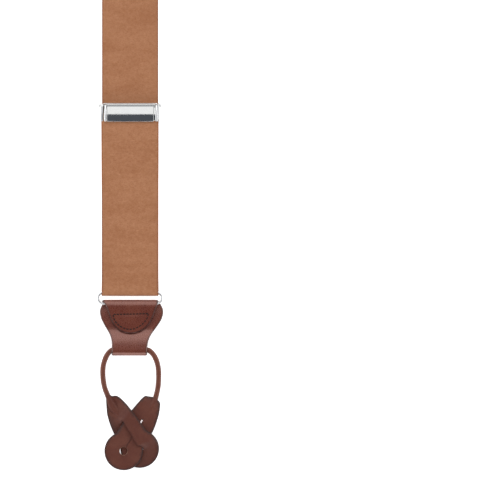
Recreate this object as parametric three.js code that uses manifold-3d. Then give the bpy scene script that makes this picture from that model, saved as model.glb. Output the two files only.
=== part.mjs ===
// Button-end braces (suspenders) laid face up on a table: two suede front straps that meet in a
// leather back patch, an elastic back strap, and three leather ends with rolled button loops.
// Millimetres, +Z up. +Y runs from the front button tabs to the back ones, the table is z = 0,
// and the origin is the middle of the footprint.
import * as THREE from "three";
import { mergeVertices } from "three/addons/utils/BufferGeometryUtils.js";
import Module from "manifold-3d";

const wasm = await Module();
wasm.setup();

// ---- Driving dimensions ----
const LENGTH = 1080; // button tab to button tab, as laid
const LEG_X = 140; // middle of a front strap from the centre line
const STRAP_WIDTH = 38.1;
const SUEDE = 1.3; // thickness of a strap
const LEATHER = 1.6; // thickness of the end tabs and the back patch
const LINING = 1.3; // thickness of the back patch's lining
const TAB_LEATHER = 1.5; // thickness of a button tab
const CLEARANCE = 0.1; // running clearance round bars and pins
const GAP = 0.3; // between neighbouring pieces

// Oblong wire ring that links a strap to its leather end
const RING = { wire: 0.8, spacing: 7.3, halfWidth: 22.3, corner: 2.4, height: 3.2 };

// Leather end tab, measured from the ring's lower bar
const FOLD_HALF_WIDTH = 19.25;
const FLAP_LENGTH = 20.3;
const CORD_SLEEVE = { y: -31.3, z: 3.9, radius: 2.35 };
const TAB_TAIL_END = -6.5; // where the tail of the sleeve stops behind the tab

// Rolled cord and its two flat button tabs
const CORD_RADIUS = 1.8;
const NECK_A = { x: -14.9, y: -62.6, angle: 31 }; // the tab with B threaded through its slit
const NECK_B = { x: 17, y: -64.2, angle: -31 };
const TAB = { toHole: 41.5, endRadius: 13.4, shoulder: 6.2, waist: 11, hole: 2.7 };
const SLIT = { length: 24, halfWidth: 0.35 };
const LAYER = TAB_LEATHER + GAP; // one tab lying on another

// Lever adjuster on each front strap, measured from its middle
const ADJUSTER_FROM_RING = 129.2; // from the ring's lower bar
const FRAME = { halfHeight: 6.2, inner: 19.25, sheet: 0.8, wall: 6.4 };
const BAR = { low: -4.8, high: -2.6, z: 4.4, thickness: 0.8 }; // the strap's end is sewn round it
const PIVOT = { y: 4.4, z: 4.6, pin: 0.7, head: 1.25 };
const COVER_HALF_WIDTH = 18.8;
const HEM_LENGTH = 12;

// Heights and places along the length
const STRAP_BOTTOM = 1; // the strap runs over the adjuster's back bars
const BEND_Y = -150; // shoulder bend, where the lower strap meets the upper one
const BEND_GAP = 3;
const RAISED_TO_Y = -185; // the strap comes down to the table above this
const PATCH = { low: 176, high: 250, wide: 45, narrow: 21.5 };
const STRAP_ENDS_Y = 228; // inside the patch
const BACK_TAIL = 32; // the back strap's tail, sewn down above the ring

// ---- Derived ----
const TAB_TIP = NECK_B.y - TAB.toHole * Math.cos(rad(NECK_B.angle)) - TAB.endRadius;
const RING_Y = LENGTH / 2 + TAB_TIP; // lower bar of a ring from the middle of the length
const ADJUSTER_Y = ADJUSTER_FROM_RING - RING_Y;
const FOLD_RADIUS = RING.wire + CLEARANCE; // inside of a fold round a bar
const STRAP_MIDDLE = STRAP_BOTTOM + SUEDE / 2;
const FRONT_LEG = RING.height + FOLD_RADIUS + SUEDE / 2; // strap in front of the ring
const FOLD_TOP = RING.spacing + 8; // where a strap's fold meets the strap's flat run

// ---- Materials ----
const suede = material(0xad7855, 0.95);
const elastic = material(0x8a5a3c, 0.9);
const leather = material(0x6b4136, 0.5);
const lining = material(0x8d6b52, 0.7);
const nickel = material(0xd5d5d2, 0.2, 1);

function material(color, roughness, metalness = 0) {
  return new THREE.MeshStandardMaterial({ color, roughness, metalness });
}

function rad(degrees) {
  return THREE.MathUtils.degToRad(degrees);
}

// ---- Geometry helpers ----

// A closed skin over rings of points, capped at both ends, or joined end to end as a loop.
function skin(rings, loop = false) {
  const size = rings[0].length;
  const index = [];
  const last = loop ? rings.length : rings.length - 1;
  for (let i = 0; i < last; i++) {
    for (let k = 0; k < size; k++) {
      const a = i * size + k;
      const b = i * size + ((k + 1) % size);
      const c = ((i + 1) % rings.length) * size;
      index.push(a, b, c + k, b, c + ((k + 1) % size), c + k);
    }
  }
  if (!loop) {
    const end = (rings.length - 1) * size;
    for (let k = 1; k < size - 1; k++) index.push(0, k + 1, k, end, end + k, end + k + 1);
  }
  const geometry = new THREE.BufferGeometry().setFromPoints(rings.flat());
  return geometry.setIndex(index);
}

// A closed round wire of the given radius through a loop of points at one height.
function wireLoop(points, radius, sides) {
  const rings = points.map((point, i) => {
    const before = points[(i + points.length - 1) % points.length];
    const after = points[(i + 1) % points.length];
    const along = after.clone().sub(before).normalize();
    const up = new THREE.Vector3(0, 0, 1);
    const side = up.clone().cross(along);
    return Array.from({ length: sides }, (_, k) => {
      const turn = (2 * Math.PI * k) / sides;
      const offset = side.clone().multiplyScalar(Math.cos(turn) * radius);
      return offset.addScaledVector(up, Math.sin(turn) * radius).add(point);
    });
  });
  return skin(rings, true);
}

function pointOn(y, z) {
  return new THREE.Vector2(y, z);
}

// Points of an arc, with angles in degrees from +Y towards +Z.
function arc(y, z, radius, from, to, steps = 8) {
  return Array.from({ length: steps + 1 }, (_, i) => {
    const turn = rad(from + ((to - from) * i) / steps);
    return pointOn(y + radius * Math.cos(turn), z + radius * Math.sin(turn));
  });
}

// The outline of a sheet of even thickness that follows a line in the Y-Z plane.
function sheetOutline(line, thickness) {
  const sides = line.map((point, i) => {
    const into = point.clone().sub(line[Math.max(i - 1, 0)]).normalize();
    const out = line[Math.min(i + 1, line.length - 1)].clone().sub(point).normalize();
    if (i === 0) into.copy(out);
    if (i === line.length - 1) out.copy(into);
    const across = into.clone().add(out).normalize();
    const reach = thickness / 2 / across.dot(out);
    return pointOn(-across.y * reach, across.x * reach);
  });
  const left = line.map((point, i) => point.clone().add(sides[i]));
  const right = line.map((point, i) => point.clone().sub(sides[i])).reverse();
  return new THREE.Shape([...left, ...right]);
}

// A Y-Z outline made solid from -halfWidth to halfWidth along X.
function across(shape, halfWidth) {
  const geometry = new THREE.ExtrudeGeometry(shape, { depth: 2 * halfWidth, bevelEnabled: false });
  const turn = new THREE.Matrix4().makeBasis(
    new THREE.Vector3(0, 1, 0),
    new THREE.Vector3(0, 0, 1),
    new THREE.Vector3(1, 0, 0),
  );
  return geometry.applyMatrix4(turn).translate(-halfWidth, 0, 0);
}

// An X-Y outline made solid between two heights.
function upright(shape, low, high, curveSegments = 12) {
  const settings = { depth: high - low, bevelEnabled: false, curveSegments };
  return new THREE.ExtrudeGeometry(shape, settings).translate(0, 0, low);
}

function box(low, high) {
  const size = high.map((value, i) => value - low[i]);
  const middle = high.map((value, i) => (value + low[i]) / 2);
  return new THREE.BoxGeometry(...size).translate(...middle);
}

function solid(geometry) {
  const bare = new THREE.BufferGeometry().setAttribute("position", geometry.attributes.position);
  if (geometry.index) bare.setIndex(geometry.index);
  const merged = mergeVertices(bare, 1e-4);
  const mesh = new wasm.Mesh({
    numProp: 3,
    vertProperties: merged.attributes.position.array,
    triVerts: new Uint32Array(merged.index.array),
  });
  return new wasm.Manifold(mesh);
}

function geometryOf(manifold) {
  const mesh = manifold.getMesh();
  const geometry = new THREE.BufferGeometry();
  geometry.setAttribute("position", new THREE.BufferAttribute(mesh.vertProperties, 3));
  geometry.setIndex(new THREE.BufferAttribute(mesh.triVerts, 1));
  geometry.computeVertexNormals();
  return geometry;
}

function piece(name, geometry, finish) {
  const mesh = new THREE.Mesh(geometry, finish);
  mesh.name = name;
  return mesh;
}

// Both halves of an outline that is symmetrical about X = 0, from its right side.
function mirrored(right) {
  const points = right.getPoints(8);
  const left = points.map((p) => pointOn(-p.x, p.y)).reverse();
  return new THREE.Shape([...points, ...left]);
}

// ---- Straps ----

// The strap's fold round the ring's upper bar. Its front leg may run on as a sewn-down tail.
function strapFold(tail) {
  const middle = FOLD_RADIUS + SUEDE / 2;
  const line = [
    pointOn(FOLD_TOP, STRAP_MIDDLE),
    ...arc(RING.spacing, RING.height, middle, -90, -270),
    pointOn(FOLD_TOP, FRONT_LEG),
  ];
  if (tail) {
    const resting = STRAP_MIDDLE + SUEDE + GAP;
    line.push(pointOn(FOLD_TOP + 12, resting), pointOn(FOLD_TOP + tail, resting));
  }
  return across(sheetOutline(line, SUEDE), STRAP_WIDTH / 2);
}

// The front run, from the ring's fold up to the adjuster's bar and round it, with its hem behind.
function strapFront() {
  const resting = STRAP_MIDDLE + SUEDE + GAP;
  const wrap = BAR.thickness / 2 + CLEARANCE + SUEDE / 2;
  const ring = -ADJUSTER_FROM_RING;
  const hemEnd = BAR.high - HEM_LENGTH;
  const line = [
    pointOn(ring + FOLD_TOP + GAP, FRONT_LEG),
    pointOn(ring + FOLD_TOP + 18, resting),
    pointOn(hemEnd - 22, resting),
    pointOn(hemEnd - 3, BAR.z + SUEDE / 2 - GAP),
    pointOn(BAR.low - 2, BAR.z + wrap),
    ...arc(BAR.high + CLEARANCE, BAR.z, wrap, 90, -90),
    pointOn(hemEnd, BAR.z - wrap),
  ];
  return across(sheetOutline(line, SUEDE), STRAP_WIDTH / 2);
}

// The straight run behind, from the ring's fold up to the shoulder bend.
function strapLower() {
  const line = [
    pointOn(-RING_Y + FOLD_TOP + GAP, STRAP_MIDDLE),
    pointOn(RAISED_TO_Y, STRAP_MIDDLE),
    pointOn(RAISED_TO_Y + 20, SUEDE / 2),
    pointOn(BEND_Y - BEND_GAP / 2, SUEDE / 2),
  ];
  return across(sheetOutline(line, SUEDE), STRAP_WIDTH / 2);
}

// The curved run from the shoulder bend into the back patch, cut where the two straps meet.
function strapUpper() {
  const slant = rad(24);
  const entry = new THREE.Vector2(-13, 190);
  const start = new THREE.Vector2(-LEG_X, BEND_Y + BEND_GAP / 2);
  const curve = new THREE.CubicBezierCurve(
    start,
    new THREE.Vector2(-LEG_X, start.y + 128),
    new THREE.Vector2(entry.x - 130 * Math.sin(slant), entry.y - 130 * Math.cos(slant)),
    entry,
  );
  const path = curve.getPoints(24);
  path.push(new THREE.Vector2(entry.x + 50 * Math.sin(slant), entry.y + 50 * Math.cos(slant)));
  const inPatch = LINING + GAP;
  const rings = path.map((point, i) => {
    const before = path[Math.max(i - 1, 0)];
    const after = path[Math.min(i + 1, path.length - 1)];
    const along = after.clone().sub(before).normalize();
    const side = new THREE.Vector2(along.y, -along.x).multiplyScalar(STRAP_WIDTH / 2);
    const low = inPatch * THREE.MathUtils.smoothstep(point.y, 110, 160);
    const corner = (way, height) =>
      new THREE.Vector3(point.x + way * side.x, point.y + way * side.y, low + height);
    return [corner(-1, 0), corner(-1, SUEDE), corner(1, SUEDE), corner(1, 0)];
  });
  const keep = box([-2 * LEG_X, -LENGTH, -1], [-GAP / 2, STRAP_ENDS_Y, 10]);
  return geometryOf(solid(skin(rings)).intersect(solid(keep)));
}

// The elastic back strap, from inside the patch to the fold round the back ring.
function backElastic() {
  const inPatch = LINING + GAP + SUEDE / 2;
  const line = [
    pointOn(STRAP_ENDS_Y + GAP, inPatch),
    pointOn(PATCH.high + 4, inPatch),
    pointOn(PATCH.high + 30, SUEDE / 2),
    pointOn(RING_Y - FOLD_TOP - 35, SUEDE / 2),
    pointOn(RING_Y - FOLD_TOP - 15, STRAP_MIDDLE),
    pointOn(RING_Y - FOLD_TOP - GAP, STRAP_MIDDLE),
  ];
  return across(sheetOutline(line, SUEDE), STRAP_WIDTH / 2);
}

// ---- Back patch ----
function patchOutline(inset) {
  const right = new THREE.Path();
  right.moveTo(0, PATCH.low + 8 + inset);
  right.quadraticCurveTo(PATCH.wide / 2, PATCH.low + 8 + inset, PATCH.wide - 3, PATCH.low + inset);
  right.quadraticCurveTo(PATCH.wide - inset, PATCH.low - 1, PATCH.wide - inset, PATCH.low + 5);
  right.bezierCurveTo(40 - inset, 205, PATCH.narrow - inset, 210, PATCH.narrow - inset, 240);
  right.lineTo(PATCH.narrow - inset, PATCH.high - 3);
  right.quadraticCurveTo(PATCH.narrow - inset, PATCH.high - inset, PATCH.narrow - 3, PATCH.high - inset);
  right.lineTo(0, PATCH.high - inset);
  return mirrored(right);
}

function backPatch() {
  const bottom = LINING + 2 * GAP + SUEDE;
  const group = new THREE.Group();
  group.add(piece("back_patch", upright(patchOutline(0), bottom, bottom + LEATHER), leather));
  group.add(piece("back_patch_lining", upright(patchOutline(0.8), 0, LINING), lining));
  return group;
}

// ---- Lever adjuster, in a frame with its origin at the adjuster's middle ----
function adjusterFrame() {
  const outer = FRAME.inner + FRAME.sheet;
  const h = FRAME.halfHeight;
  const plate = solid(box([-outer, -h, 0], [outer, h, FRAME.sheet]));
  const window = solid(box([-FRAME.inner + 1.2, -3.4, -1], [FRAME.inner - 1.2, 3.2, 2]));
  const wallShape = new THREE.Shape();
  wallShape.moveTo(-h, 0).lineTo(h, 0).lineTo(h, PIVOT.z);
  wallShape.quadraticCurveTo(h, FRAME.wall, PIVOT.y, FRAME.wall);
  wallShape.lineTo(-h + 1, FRAME.wall).lineTo(-h, FRAME.wall - 1);
  const wall = across(wallShape, FRAME.sheet / 2);
  const bottom = BAR.z - BAR.thickness / 2;
  const reach = FRAME.inner + 0.1;
  const bar = box([-reach, BAR.low, bottom], [reach, BAR.high, bottom + BAR.thickness]);
  const bore = new THREE.CylinderGeometry(PIVOT.pin + CLEARANCE, PIVOT.pin + CLEARANCE, 60, 16);
  bore.rotateZ(Math.PI / 2).translate(0, PIVOT.y, PIVOT.z);
  let frame = plate.subtract(window).add(solid(bar));
  for (const side of [-1, 1]) {
    const x = side * (FRAME.inner + FRAME.sheet / 2);
    frame = frame.add(solid(wall.clone().translate(x, 0, 0)));
  }
  return geometryOf(frame.subtract(solid(bore)));
}

// The cover that flips up. Its cam bites the strap while it is shut.
function camLever() {
  const cover = arc(-1.6, -7.6, 15.2, 63, 108, 10);
  const sheet = across(sheetOutline(cover, 0.8), COVER_HALF_WIDTH);
  const barrelShape = new THREE.Shape(arc(PIVOT.y, PIVOT.z, 1.5, 0, 345, 23));
  const barrel = across(barrelShape, COVER_HALF_WIDTH);
  const biteZ = STRAP_BOTTOM + SUEDE + 0.25;
  const camShape = new THREE.Shape([
    pointOn(PIVOT.y - 1.2, PIVOT.z - 0.6),
    pointOn(PIVOT.y - 0.35, biteZ),
    pointOn(PIVOT.y + 0.45, biteZ),
    pointOn(PIVOT.y + 1.2, PIVOT.z - 0.6),
  ]);
  let cam = solid(across(camShape, 17.5));
  for (let x = -16.5; x < 17; x += 3) {
    cam = cam.subtract(solid(box([x, PIVOT.y - 2, biteZ - 1], [x + 1.2, PIVOT.y + 2, biteZ + 0.6])));
  }
  const bore = new THREE.CylinderGeometry(PIVOT.pin + CLEARANCE, PIVOT.pin + CLEARANCE, 60, 16);
  bore.rotateZ(Math.PI / 2).translate(0, PIVOT.y, PIVOT.z);
  let lever = solid(sheet).add(solid(barrel)).add(cam);
  for (const side of [-1, 1]) {
    const rib = across(sheetOutline(cover.slice(0, 7), 1.5), 0.8).translate(side * 17.1, 0, 0);
    lever = lever.add(solid(rib));
  }
  return geometryOf(lever.subtract(solid(bore)));
}

function pivotPin() {
  const wall = FRAME.inner + FRAME.sheet + CLEARANCE;
  const half = [
    pointOn(PIVOT.pin, wall),
    pointOn(PIVOT.head, wall),
    pointOn(PIVOT.head, wall + 0.25),
    pointOn(0.85, wall + 0.7),
    pointOn(0, wall + 0.85),
  ];
  const other = half.map((p) => pointOn(p.x, -p.y)).reverse();
  const geometry = new THREE.LatheGeometry([...other, ...half], 16);
  return geometry.rotateZ(Math.PI / 2).translate(0, PIVOT.y, PIVOT.z);
}

function adjuster(side) {
  const group = new THREE.Group();
  group.add(piece(`${side}_adjuster_frame`, adjusterFrame(), nickel));
  group.add(piece(`${side}_cam_lever`, camLever(), nickel));
  group.add(piece(`${side}_pivot_pin`, pivotPin(), nickel));
  group.add(piece(`${side}_strap_front`, strapFront(), suede));
  return group;
}

// ---- Leather end, in a frame with its origin under the ring's lower bar ----
function wireRing() {
  const x = RING.halfWidth - RING.wire - RING.corner;
  const points = [];
  for (const [cx, cy, from] of [
    [x, RING.corner, -90],
    [x, RING.spacing - RING.corner, 0],
    [-x, RING.spacing - RING.corner, 90],
    [-x, RING.corner, 180],
  ]) {
    for (const p of arc(cx, cy, RING.corner, from, from + 90, 5)) {
      points.push(new THREE.Vector3(p.x, p.y, RING.height));
    }
  }
  return wireLoop(points, RING.wire, 10);
}

// The tab is one strip: flap in front, fold round the ring, body behind, sleeve round the cord,
// and a tail behind the body. The flap and the body are cut to different outlines.
function endTab() {
  const foldMiddle = FOLD_RADIUS + LEATHER / 2;
  const sleeveMiddle = CORD_SLEEVE.radius + LEATHER / 2;
  const body = LEATHER * 1.5 + 0.15;
  const flap = body + LEATHER + 0.15;
  const line = [
    pointOn(-FLAP_LENGTH - 0.3, flap),
    pointOn(-7, flap),
    ...arc(0, RING.height, foldMiddle, 90, -90),
    pointOn(-2, RING.height - foldMiddle),
    pointOn(-7, body),
    pointOn(-FLAP_LENGTH - 1.5, body),
    ...arc(CORD_SLEEVE.y, CORD_SLEEVE.z, sleeveMiddle, 60, 270, 14),
    pointOn(TAB_TAIL_END, LEATHER / 2),
  ];
  const strip = solid(across(sheetOutline(line, LEATHER), 24));

  const flapSide = new THREE.Path();
  flapSide.moveTo(FOLD_HALF_WIDTH, 4).lineTo(FOLD_HALF_WIDTH, 2);
  flapSide.quadraticCurveTo(18.2, 1.5, 17.9, 0);
  flapSide.bezierCurveTo(16.6, -4.5, 14.6, -10, 12.2, -13.8);
  flapSide.bezierCurveTo(9.8, -17.7, 5.5, -FLAP_LENGTH, 0, -FLAP_LENGTH);
  const bodySide = new THREE.Path();
  bodySide.moveTo(FOLD_HALF_WIDTH, 4).lineTo(FOLD_HALF_WIDTH, -0.4);
  bodySide.quadraticCurveTo(21.5, -2.5, 21.5, -6.4);
  bodySide.bezierCurveTo(21.5, -13.5, 13.6, -18.5, 12.4, -26);
  bodySide.quadraticCurveTo(11.9, -29, 11.7, -36);
  bodySide.lineTo(0, -36);

  const between = (flap + body) / 2;
  const flapCut = solid(upright(mirrored(flapSide), between, 12, 8));
  const bodyLow = solid(upright(mirrored(bodySide), -1, between, 8));
  const sleeveCut = solid(upright(mirrored(bodySide), between - 0.1, 12, 8));
  const belowFlap = solid(box([-30, -40, -1], [30, -FLAP_LENGTH - 0.5, 12]));
  const outline = flapCut.add(bodyLow).add(sleeveCut.intersect(belowFlap));
  return geometryOf(strip.intersect(outline));
}

// The rolled cord, from tab A's neck up through the sleeve and down to tab B's neck.
const CORD_POINTS = [
  [-15.2, -62.1, 1.8],
  [-17.3, -56.4, 1.8],
  [-18.4, -49.5, 1.8],
  [-18.3, -43.2, 1.9],
  [-17.0, -38.0, 2.5],
  [-15.0, -34.0, 3.4],
  [-12.3, -31.8, 3.9],
  [-8.0, -31.2, 3.95],
  [0, -31.2, 3.95],
  [8.0, -31.2, 3.95],
  [12.3, -31.8, 3.9],
  [15.3, -34.0, 3.4],
  [17.6, -38.0, 2.5],
  [19.0, -43.2, 1.9],
  [19.3, -49.5, 1.8],
  [18.8, -56.8, 1.8],
  [17.4, -63.4, 1.8],
];

function loopCord() {
  const extrudePath = new THREE.CatmullRomCurve3(CORD_POINTS.map((p) => new THREE.Vector3(...p)));
  const section = new THREE.Shape().absarc(0, 0, CORD_RADIUS, 0, 2 * Math.PI);
  const settings = { steps: 40, curveSegments: 5, bevelEnabled: false, extrudePath };
  return new THREE.ExtrudeGeometry(section, settings);
}

// Half the width of a button tab at a distance from its neck.
function tabHalfWidth(s) {
  const neck = THREE.MathUtils.smoothstep(s, 1, 4);
  const taper = TAB.waist - (TAB.waist - TAB.shoulder) * Math.exp(-Math.max(s - 4, 0) / 12);
  const flat = CORD_RADIUS + neck * (taper - CORD_RADIUS);
  const round = Math.sqrt(Math.max(TAB.endRadius ** 2 - (s - TAB.toHole) ** 2, 0));
  return s > TAB.toHole ? round : Math.max(flat, round);
}

// Half the width of the keyhole: a slit that ends in a round hole.
function keyholeHalfWidth(s) {
  const round = Math.sqrt(Math.max(TAB.hole ** 2 - (s - TAB.toHole) ** 2, 0));
  const slit = s > TAB.toHole - SLIT.length + 0.5 && s < TAB.toHole ? SLIT.halfWidth : 0;
  return Math.max(round, slit);
}

const TAB_STATIONS = [
  ...[0, 1.2, 2, 3, 4, 6.5, 9.5, 12.5, 15, 17.5, 19, 21, 24, 27.5, 31, 34.5, 37.5],
  ...[39, 40, 41.5, 43, 43.9, 44.2, 46, 48.5, 50.5, 52.3, 53.6, 54.4, 54.8],
];

// A flat tab cut with a keyhole. Each half follows its own height, so the slit can gape.
function buttonTab(neck, heightAt) {
  const turn = rad(neck.angle);
  const along = new THREE.Vector2(Math.sin(turn), -Math.cos(turn));
  const side = new THREE.Vector2(Math.cos(turn), Math.sin(turn));
  const columns = [0, 0.5, 1];
  const vertex = (s, way, share, face) => {
    const inner = keyholeHalfWidth(s);
    const n = way * (inner + (tabHalfWidth(s) - inner) * share);
    const z = heightAt(s, n, way) + (face * TAB_LEATHER) / 2;
    const x = neck.x + along.x * s + side.x * n;
    return [x, neck.y + along.y * s + side.y * n, z];
  };
  const points = [];
  const quad = (a, b, c, d) => points.push(...a, ...b, ...c, ...a, ...c, ...d);
  for (const way of [-1, 1]) {
    const at = (i, share, face) => vertex(TAB_STATIONS[i], way, share, face);
    const wall = (i, share, facing) => {
      const corners = [at(i, share, -1), at(i + 1, share, -1), at(i + 1, share, 1), at(i, share, 1)];
      quad(...(facing * way > 0 ? corners.reverse() : corners));
    };
    for (let i = 0; i < TAB_STATIONS.length - 1; i++) {
      for (let k = 0; k < columns.length - 1; k++) {
        for (const face of [-1, 1]) {
          const [a, b] = [columns[k], columns[k + 1]];
          const corners = [at(i, a, face), at(i + 1, a, face), at(i + 1, b, face), at(i, b, face)];
          quad(...(face * way > 0 ? corners : corners.reverse()));
        }
      }
      wall(i, 1, 1);
      if (keyholeHalfWidth(TAB_STATIONS[i]) + keyholeHalfWidth(TAB_STATIONS[i + 1]) > 0) {
        wall(i, 0, -1);
      }
    }
    for (const i of [0, TAB_STATIONS.length - 1]) {
      for (let k = 0; k < columns.length - 1; k++) {
        const [a, b] = [columns[k], columns[k + 1]];
        const corners = [at(i, a, -1), at(i, b, -1), at(i, b, 1), at(i, a, 1)];
        quad(...(way * (i === 0 ? -1 : 1) > 0 ? corners : corners.reverse()));
      }
    }
  }
  const geometry = new THREE.BufferGeometry();
  geometry.setAttribute("position", new THREE.Float32BufferAttribute(points, 3));
  return mergeVertices(geometry, 1e-4);
}

// Tab A lies on the table. Right of its slit it arches over tab B.
function heightOfA(s, n, way) {
  const { smoothstep } = THREE.MathUtils;
  const neck = (CORD_RADIUS - TAB_LEATHER / 2) * (1 - smoothstep(s, 0, 6));
  const slanted = s + 0.53 * n;
  const rise = 0.35 * smoothstep(slanted, 7, 16.5) + 0.65 * smoothstep(slanted, 15, 20);
  const arch = rise * (1 - smoothstep(s, 39.5, 44));
  const slitStart = TAB.toHole - SLIT.length;
  const shared = way > 0 ? 1 : (1 + n / tabHalfWidth(s)) * (1 - smoothstep(s, slitStart, slitStart + 2));
  return TAB_LEATHER / 2 + neck + 2 * LAYER * arch * shared;
}

// Tab B runs through A's slit, one layer above the table.
function heightOfB(s) {
  const neck = THREE.MathUtils.smoothstep(s, 0, 7);
  return CORD_RADIUS + neck * (TAB_LEATHER / 2 + LAYER - CORD_RADIUS);
}

// The first piece with everything within a gap of the second one trimmed off.
function clearOf(geometry, other) {
  let cut = solid(geometry);
  const keepOff = solid(other);
  for (const shift of [-GAP, GAP]) {
    cut = cut.subtract(keepOff.translate(shift, 0, 0));
    cut = cut.subtract(keepOff.translate(0, shift, 0));
    cut = cut.subtract(keepOff.translate(0, 0, shift));
  }
  return geometryOf(cut);
}

function leatherEnd(side, tail) {
  const group = new THREE.Group();
  const tabA = buttonTab(NECK_A, heightOfA);
  const tabB = clearOf(buttonTab(NECK_B, heightOfB), tabA);
  group.add(piece(`${side}_strap_fold`, strapFold(tail), tail ? elastic : suede));
  group.add(piece(`${side}_ring`, wireRing(), nickel));
  group.add(piece(`${side}_end_tab`, endTab(), leather));
  group.add(piece(`${side}_loop_cord`, loopCord(), leather));
  group.add(piece(`${side}_button_tab_a`, tabA, leather));
  group.add(piece(`${side}_button_tab_b`, tabB, leather));
  return group;
}

// ---- Assembly ----
const braces = new THREE.Group();
for (const [side, way] of [
  ["left", -1],
  ["right", 1],
]) {
  const upper = strapUpper();
  if (way > 0) {
    upper.scale(-1, 1, 1);
    const order = upper.index.array;
    for (let i = 0; i < order.length; i += 3) [order[i], order[i + 1]] = [order[i + 1], order[i]];
  }
  braces.add(piece(`${side}_strap_upper`, upper, suede));
  const lower = piece(`${side}_strap_lower`, strapLower(), suede);
  lower.position.x = way * LEG_X;
  const end = leatherEnd(side, 0);
  end.position.set(way * LEG_X, -RING_Y, 0);
  const slide = adjuster(side);
  slide.position.set(way * LEG_X, ADJUSTER_Y, 0);
  braces.add(lower, end, slide);
}
braces.add(backPatch());
braces.add(piece("back_elastic", backElastic(), elastic));
const backEnd = leatherEnd("back", BACK_TAIL);
backEnd.position.y = RING_Y;
backEnd.rotation.z = Math.PI;
braces.add(backEnd);

export default braces;
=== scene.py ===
"""Suede suspenders with leather button ends, laid face up on a pale table.

Sizes are in millimetres up to the point where a mesh is made, and metres after that.
A leather end is drawn once, from its ring's lower bar, and placed three times.
"""

import bmesh
import bpy
import math
from mathutils import Matrix, Vector
from mathutils.geometry import delaunay_2d_cdt


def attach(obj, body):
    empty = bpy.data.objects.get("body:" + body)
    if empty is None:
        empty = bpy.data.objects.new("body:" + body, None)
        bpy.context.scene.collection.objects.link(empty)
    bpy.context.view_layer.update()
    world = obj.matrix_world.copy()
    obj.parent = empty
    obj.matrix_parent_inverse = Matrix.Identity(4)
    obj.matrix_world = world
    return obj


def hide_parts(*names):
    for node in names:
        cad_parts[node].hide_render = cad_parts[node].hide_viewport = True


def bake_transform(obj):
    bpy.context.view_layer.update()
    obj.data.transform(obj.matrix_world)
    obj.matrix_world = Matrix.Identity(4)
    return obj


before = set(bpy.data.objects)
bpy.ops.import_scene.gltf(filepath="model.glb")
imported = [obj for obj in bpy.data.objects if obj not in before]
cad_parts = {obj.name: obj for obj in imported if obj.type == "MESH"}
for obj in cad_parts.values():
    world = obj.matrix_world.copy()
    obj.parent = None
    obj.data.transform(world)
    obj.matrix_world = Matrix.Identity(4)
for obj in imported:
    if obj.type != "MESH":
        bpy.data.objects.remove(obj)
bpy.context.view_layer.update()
MM = 0.001

# ---------------------------------------------------------------- sizes
# Places on the whole pair: how far each front strap hangs from the middle, the rings, the adjusters, the
# shoulder bends, and where and at what slant a front strap goes into the back patch
LEG_X = 140.0
RING_Y = 426.83
ADJUSTER_Y = -297.63
BEND_Y = -150.0
PATCH_ENTRY = (-13.0, 190.0)
PATCH_SLANT = math.radians(24)

# Strap and leather
STRAP_HALF = 19.05
SUEDE = 1.3
UPPER_SUEDE = 1.24
WEBBING = 1.26
LEATHER = 1.6
PATCH_LEATHER = 1.5
LINING = 1.3
SLIDE_GAP = 0.07

# Button tabs: where each one's neck is and how it leans, then the keyhole along its middle line
NECK_A = (-14.9, -62.6, math.radians(31))
NECK_B = (17.0, -64.2, math.radians(-31))
TO_HOLE = 41.5
HOLE_RADIUS = 2.7
SLIT_LENGTH = 24.0
TAB_THICK = 1.5
TAB_LAYER = 1.8
TAB_HALF = 10.4

# Lever adjuster: its pivot's place from the frame's middle, and the arc of its cover
PIVOT_Y = 4.4
PIVOT_Z = 4.6
COVER_CENTRE = (-3.3, -7.6)
COVER_RADIUS = 15.0

# Wire ring: height of its wire's middle, half its length, its wire and its corners
RING_Z = 3.2
RING_HALF = 22.2
RING_WIRE = 0.8
RING_CORNER = 3.4

# Thread
STITCH_LENGTH = 1.85
THREAD_RADIUS = 0.43


# ---------------------------------------------------------------- camera
def place_camera():
    """Straight above the left front end, far enough off that nothing leans."""
    width_shown = 337.8 * MM
    middle_height = 4 * MM
    camera = bpy.data.cameras.new("camera")
    camera.lens = 300.0
    camera.sensor_width = 36.0
    camera.clip_end = 20.0
    distance = width_shown * camera.lens / camera.sensor_width
    looker = bpy.data.objects.new("camera", camera)
    looker.location = (-58.94 * MM, -390.7 * MM, distance + middle_height)
    bpy.context.collection.objects.link(looker)
    bpy.context.scene.camera = looker


place_camera()


# ---------------------------------------------------------------- curves and lofts
def smooth(x, low, high):
    """0 below low, 1 above high, and an easy step between."""
    t = min(max((x - low) / (high - low), 0.0), 1.0)
    return t * t * (3 - 2 * t)


def mix(a, b, t):
    """The value a share t of the way from a to b."""
    return a + (b - a) * t


def along_table(table, x):
    """A smooth value at x from a short table of (x, value)."""
    if x <= table[0][0]:
        return table[0][1]
    for (x0, v0), (x1, v1) in zip(table, table[1:]):
        if x <= x1:
            return mix(v0, v1, smooth(x, x0, x1))
    return table[-1][1]


def catmull(points, per_span, closed=False):
    """A smooth line through a few points."""
    points = [Vector(p) for p in points]
    count = len(points)
    spans = count if closed else count - 1
    line = []
    for i in range(spans):
        if closed:
            a, b, c, d = (points[(i + k - 1) % count] for k in range(4))
        else:
            b, c = points[i], points[i + 1]
            a = points[i - 1] if i else b * 2 - c
            d = points[i + 2] if i + 2 < count else c * 2 - b
        for k in range(per_span):
            t = k / per_span
            line.append(
                0.5
                * (
                    2 * b
                    + (c - a) * t
                    + (2 * a - 5 * b + 4 * c - d) * t * t
                    + (3 * b - a - 3 * c + d) * t * t * t
                )
            )
    if not closed:
        line.append(points[-1].copy())
    return line


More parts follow.
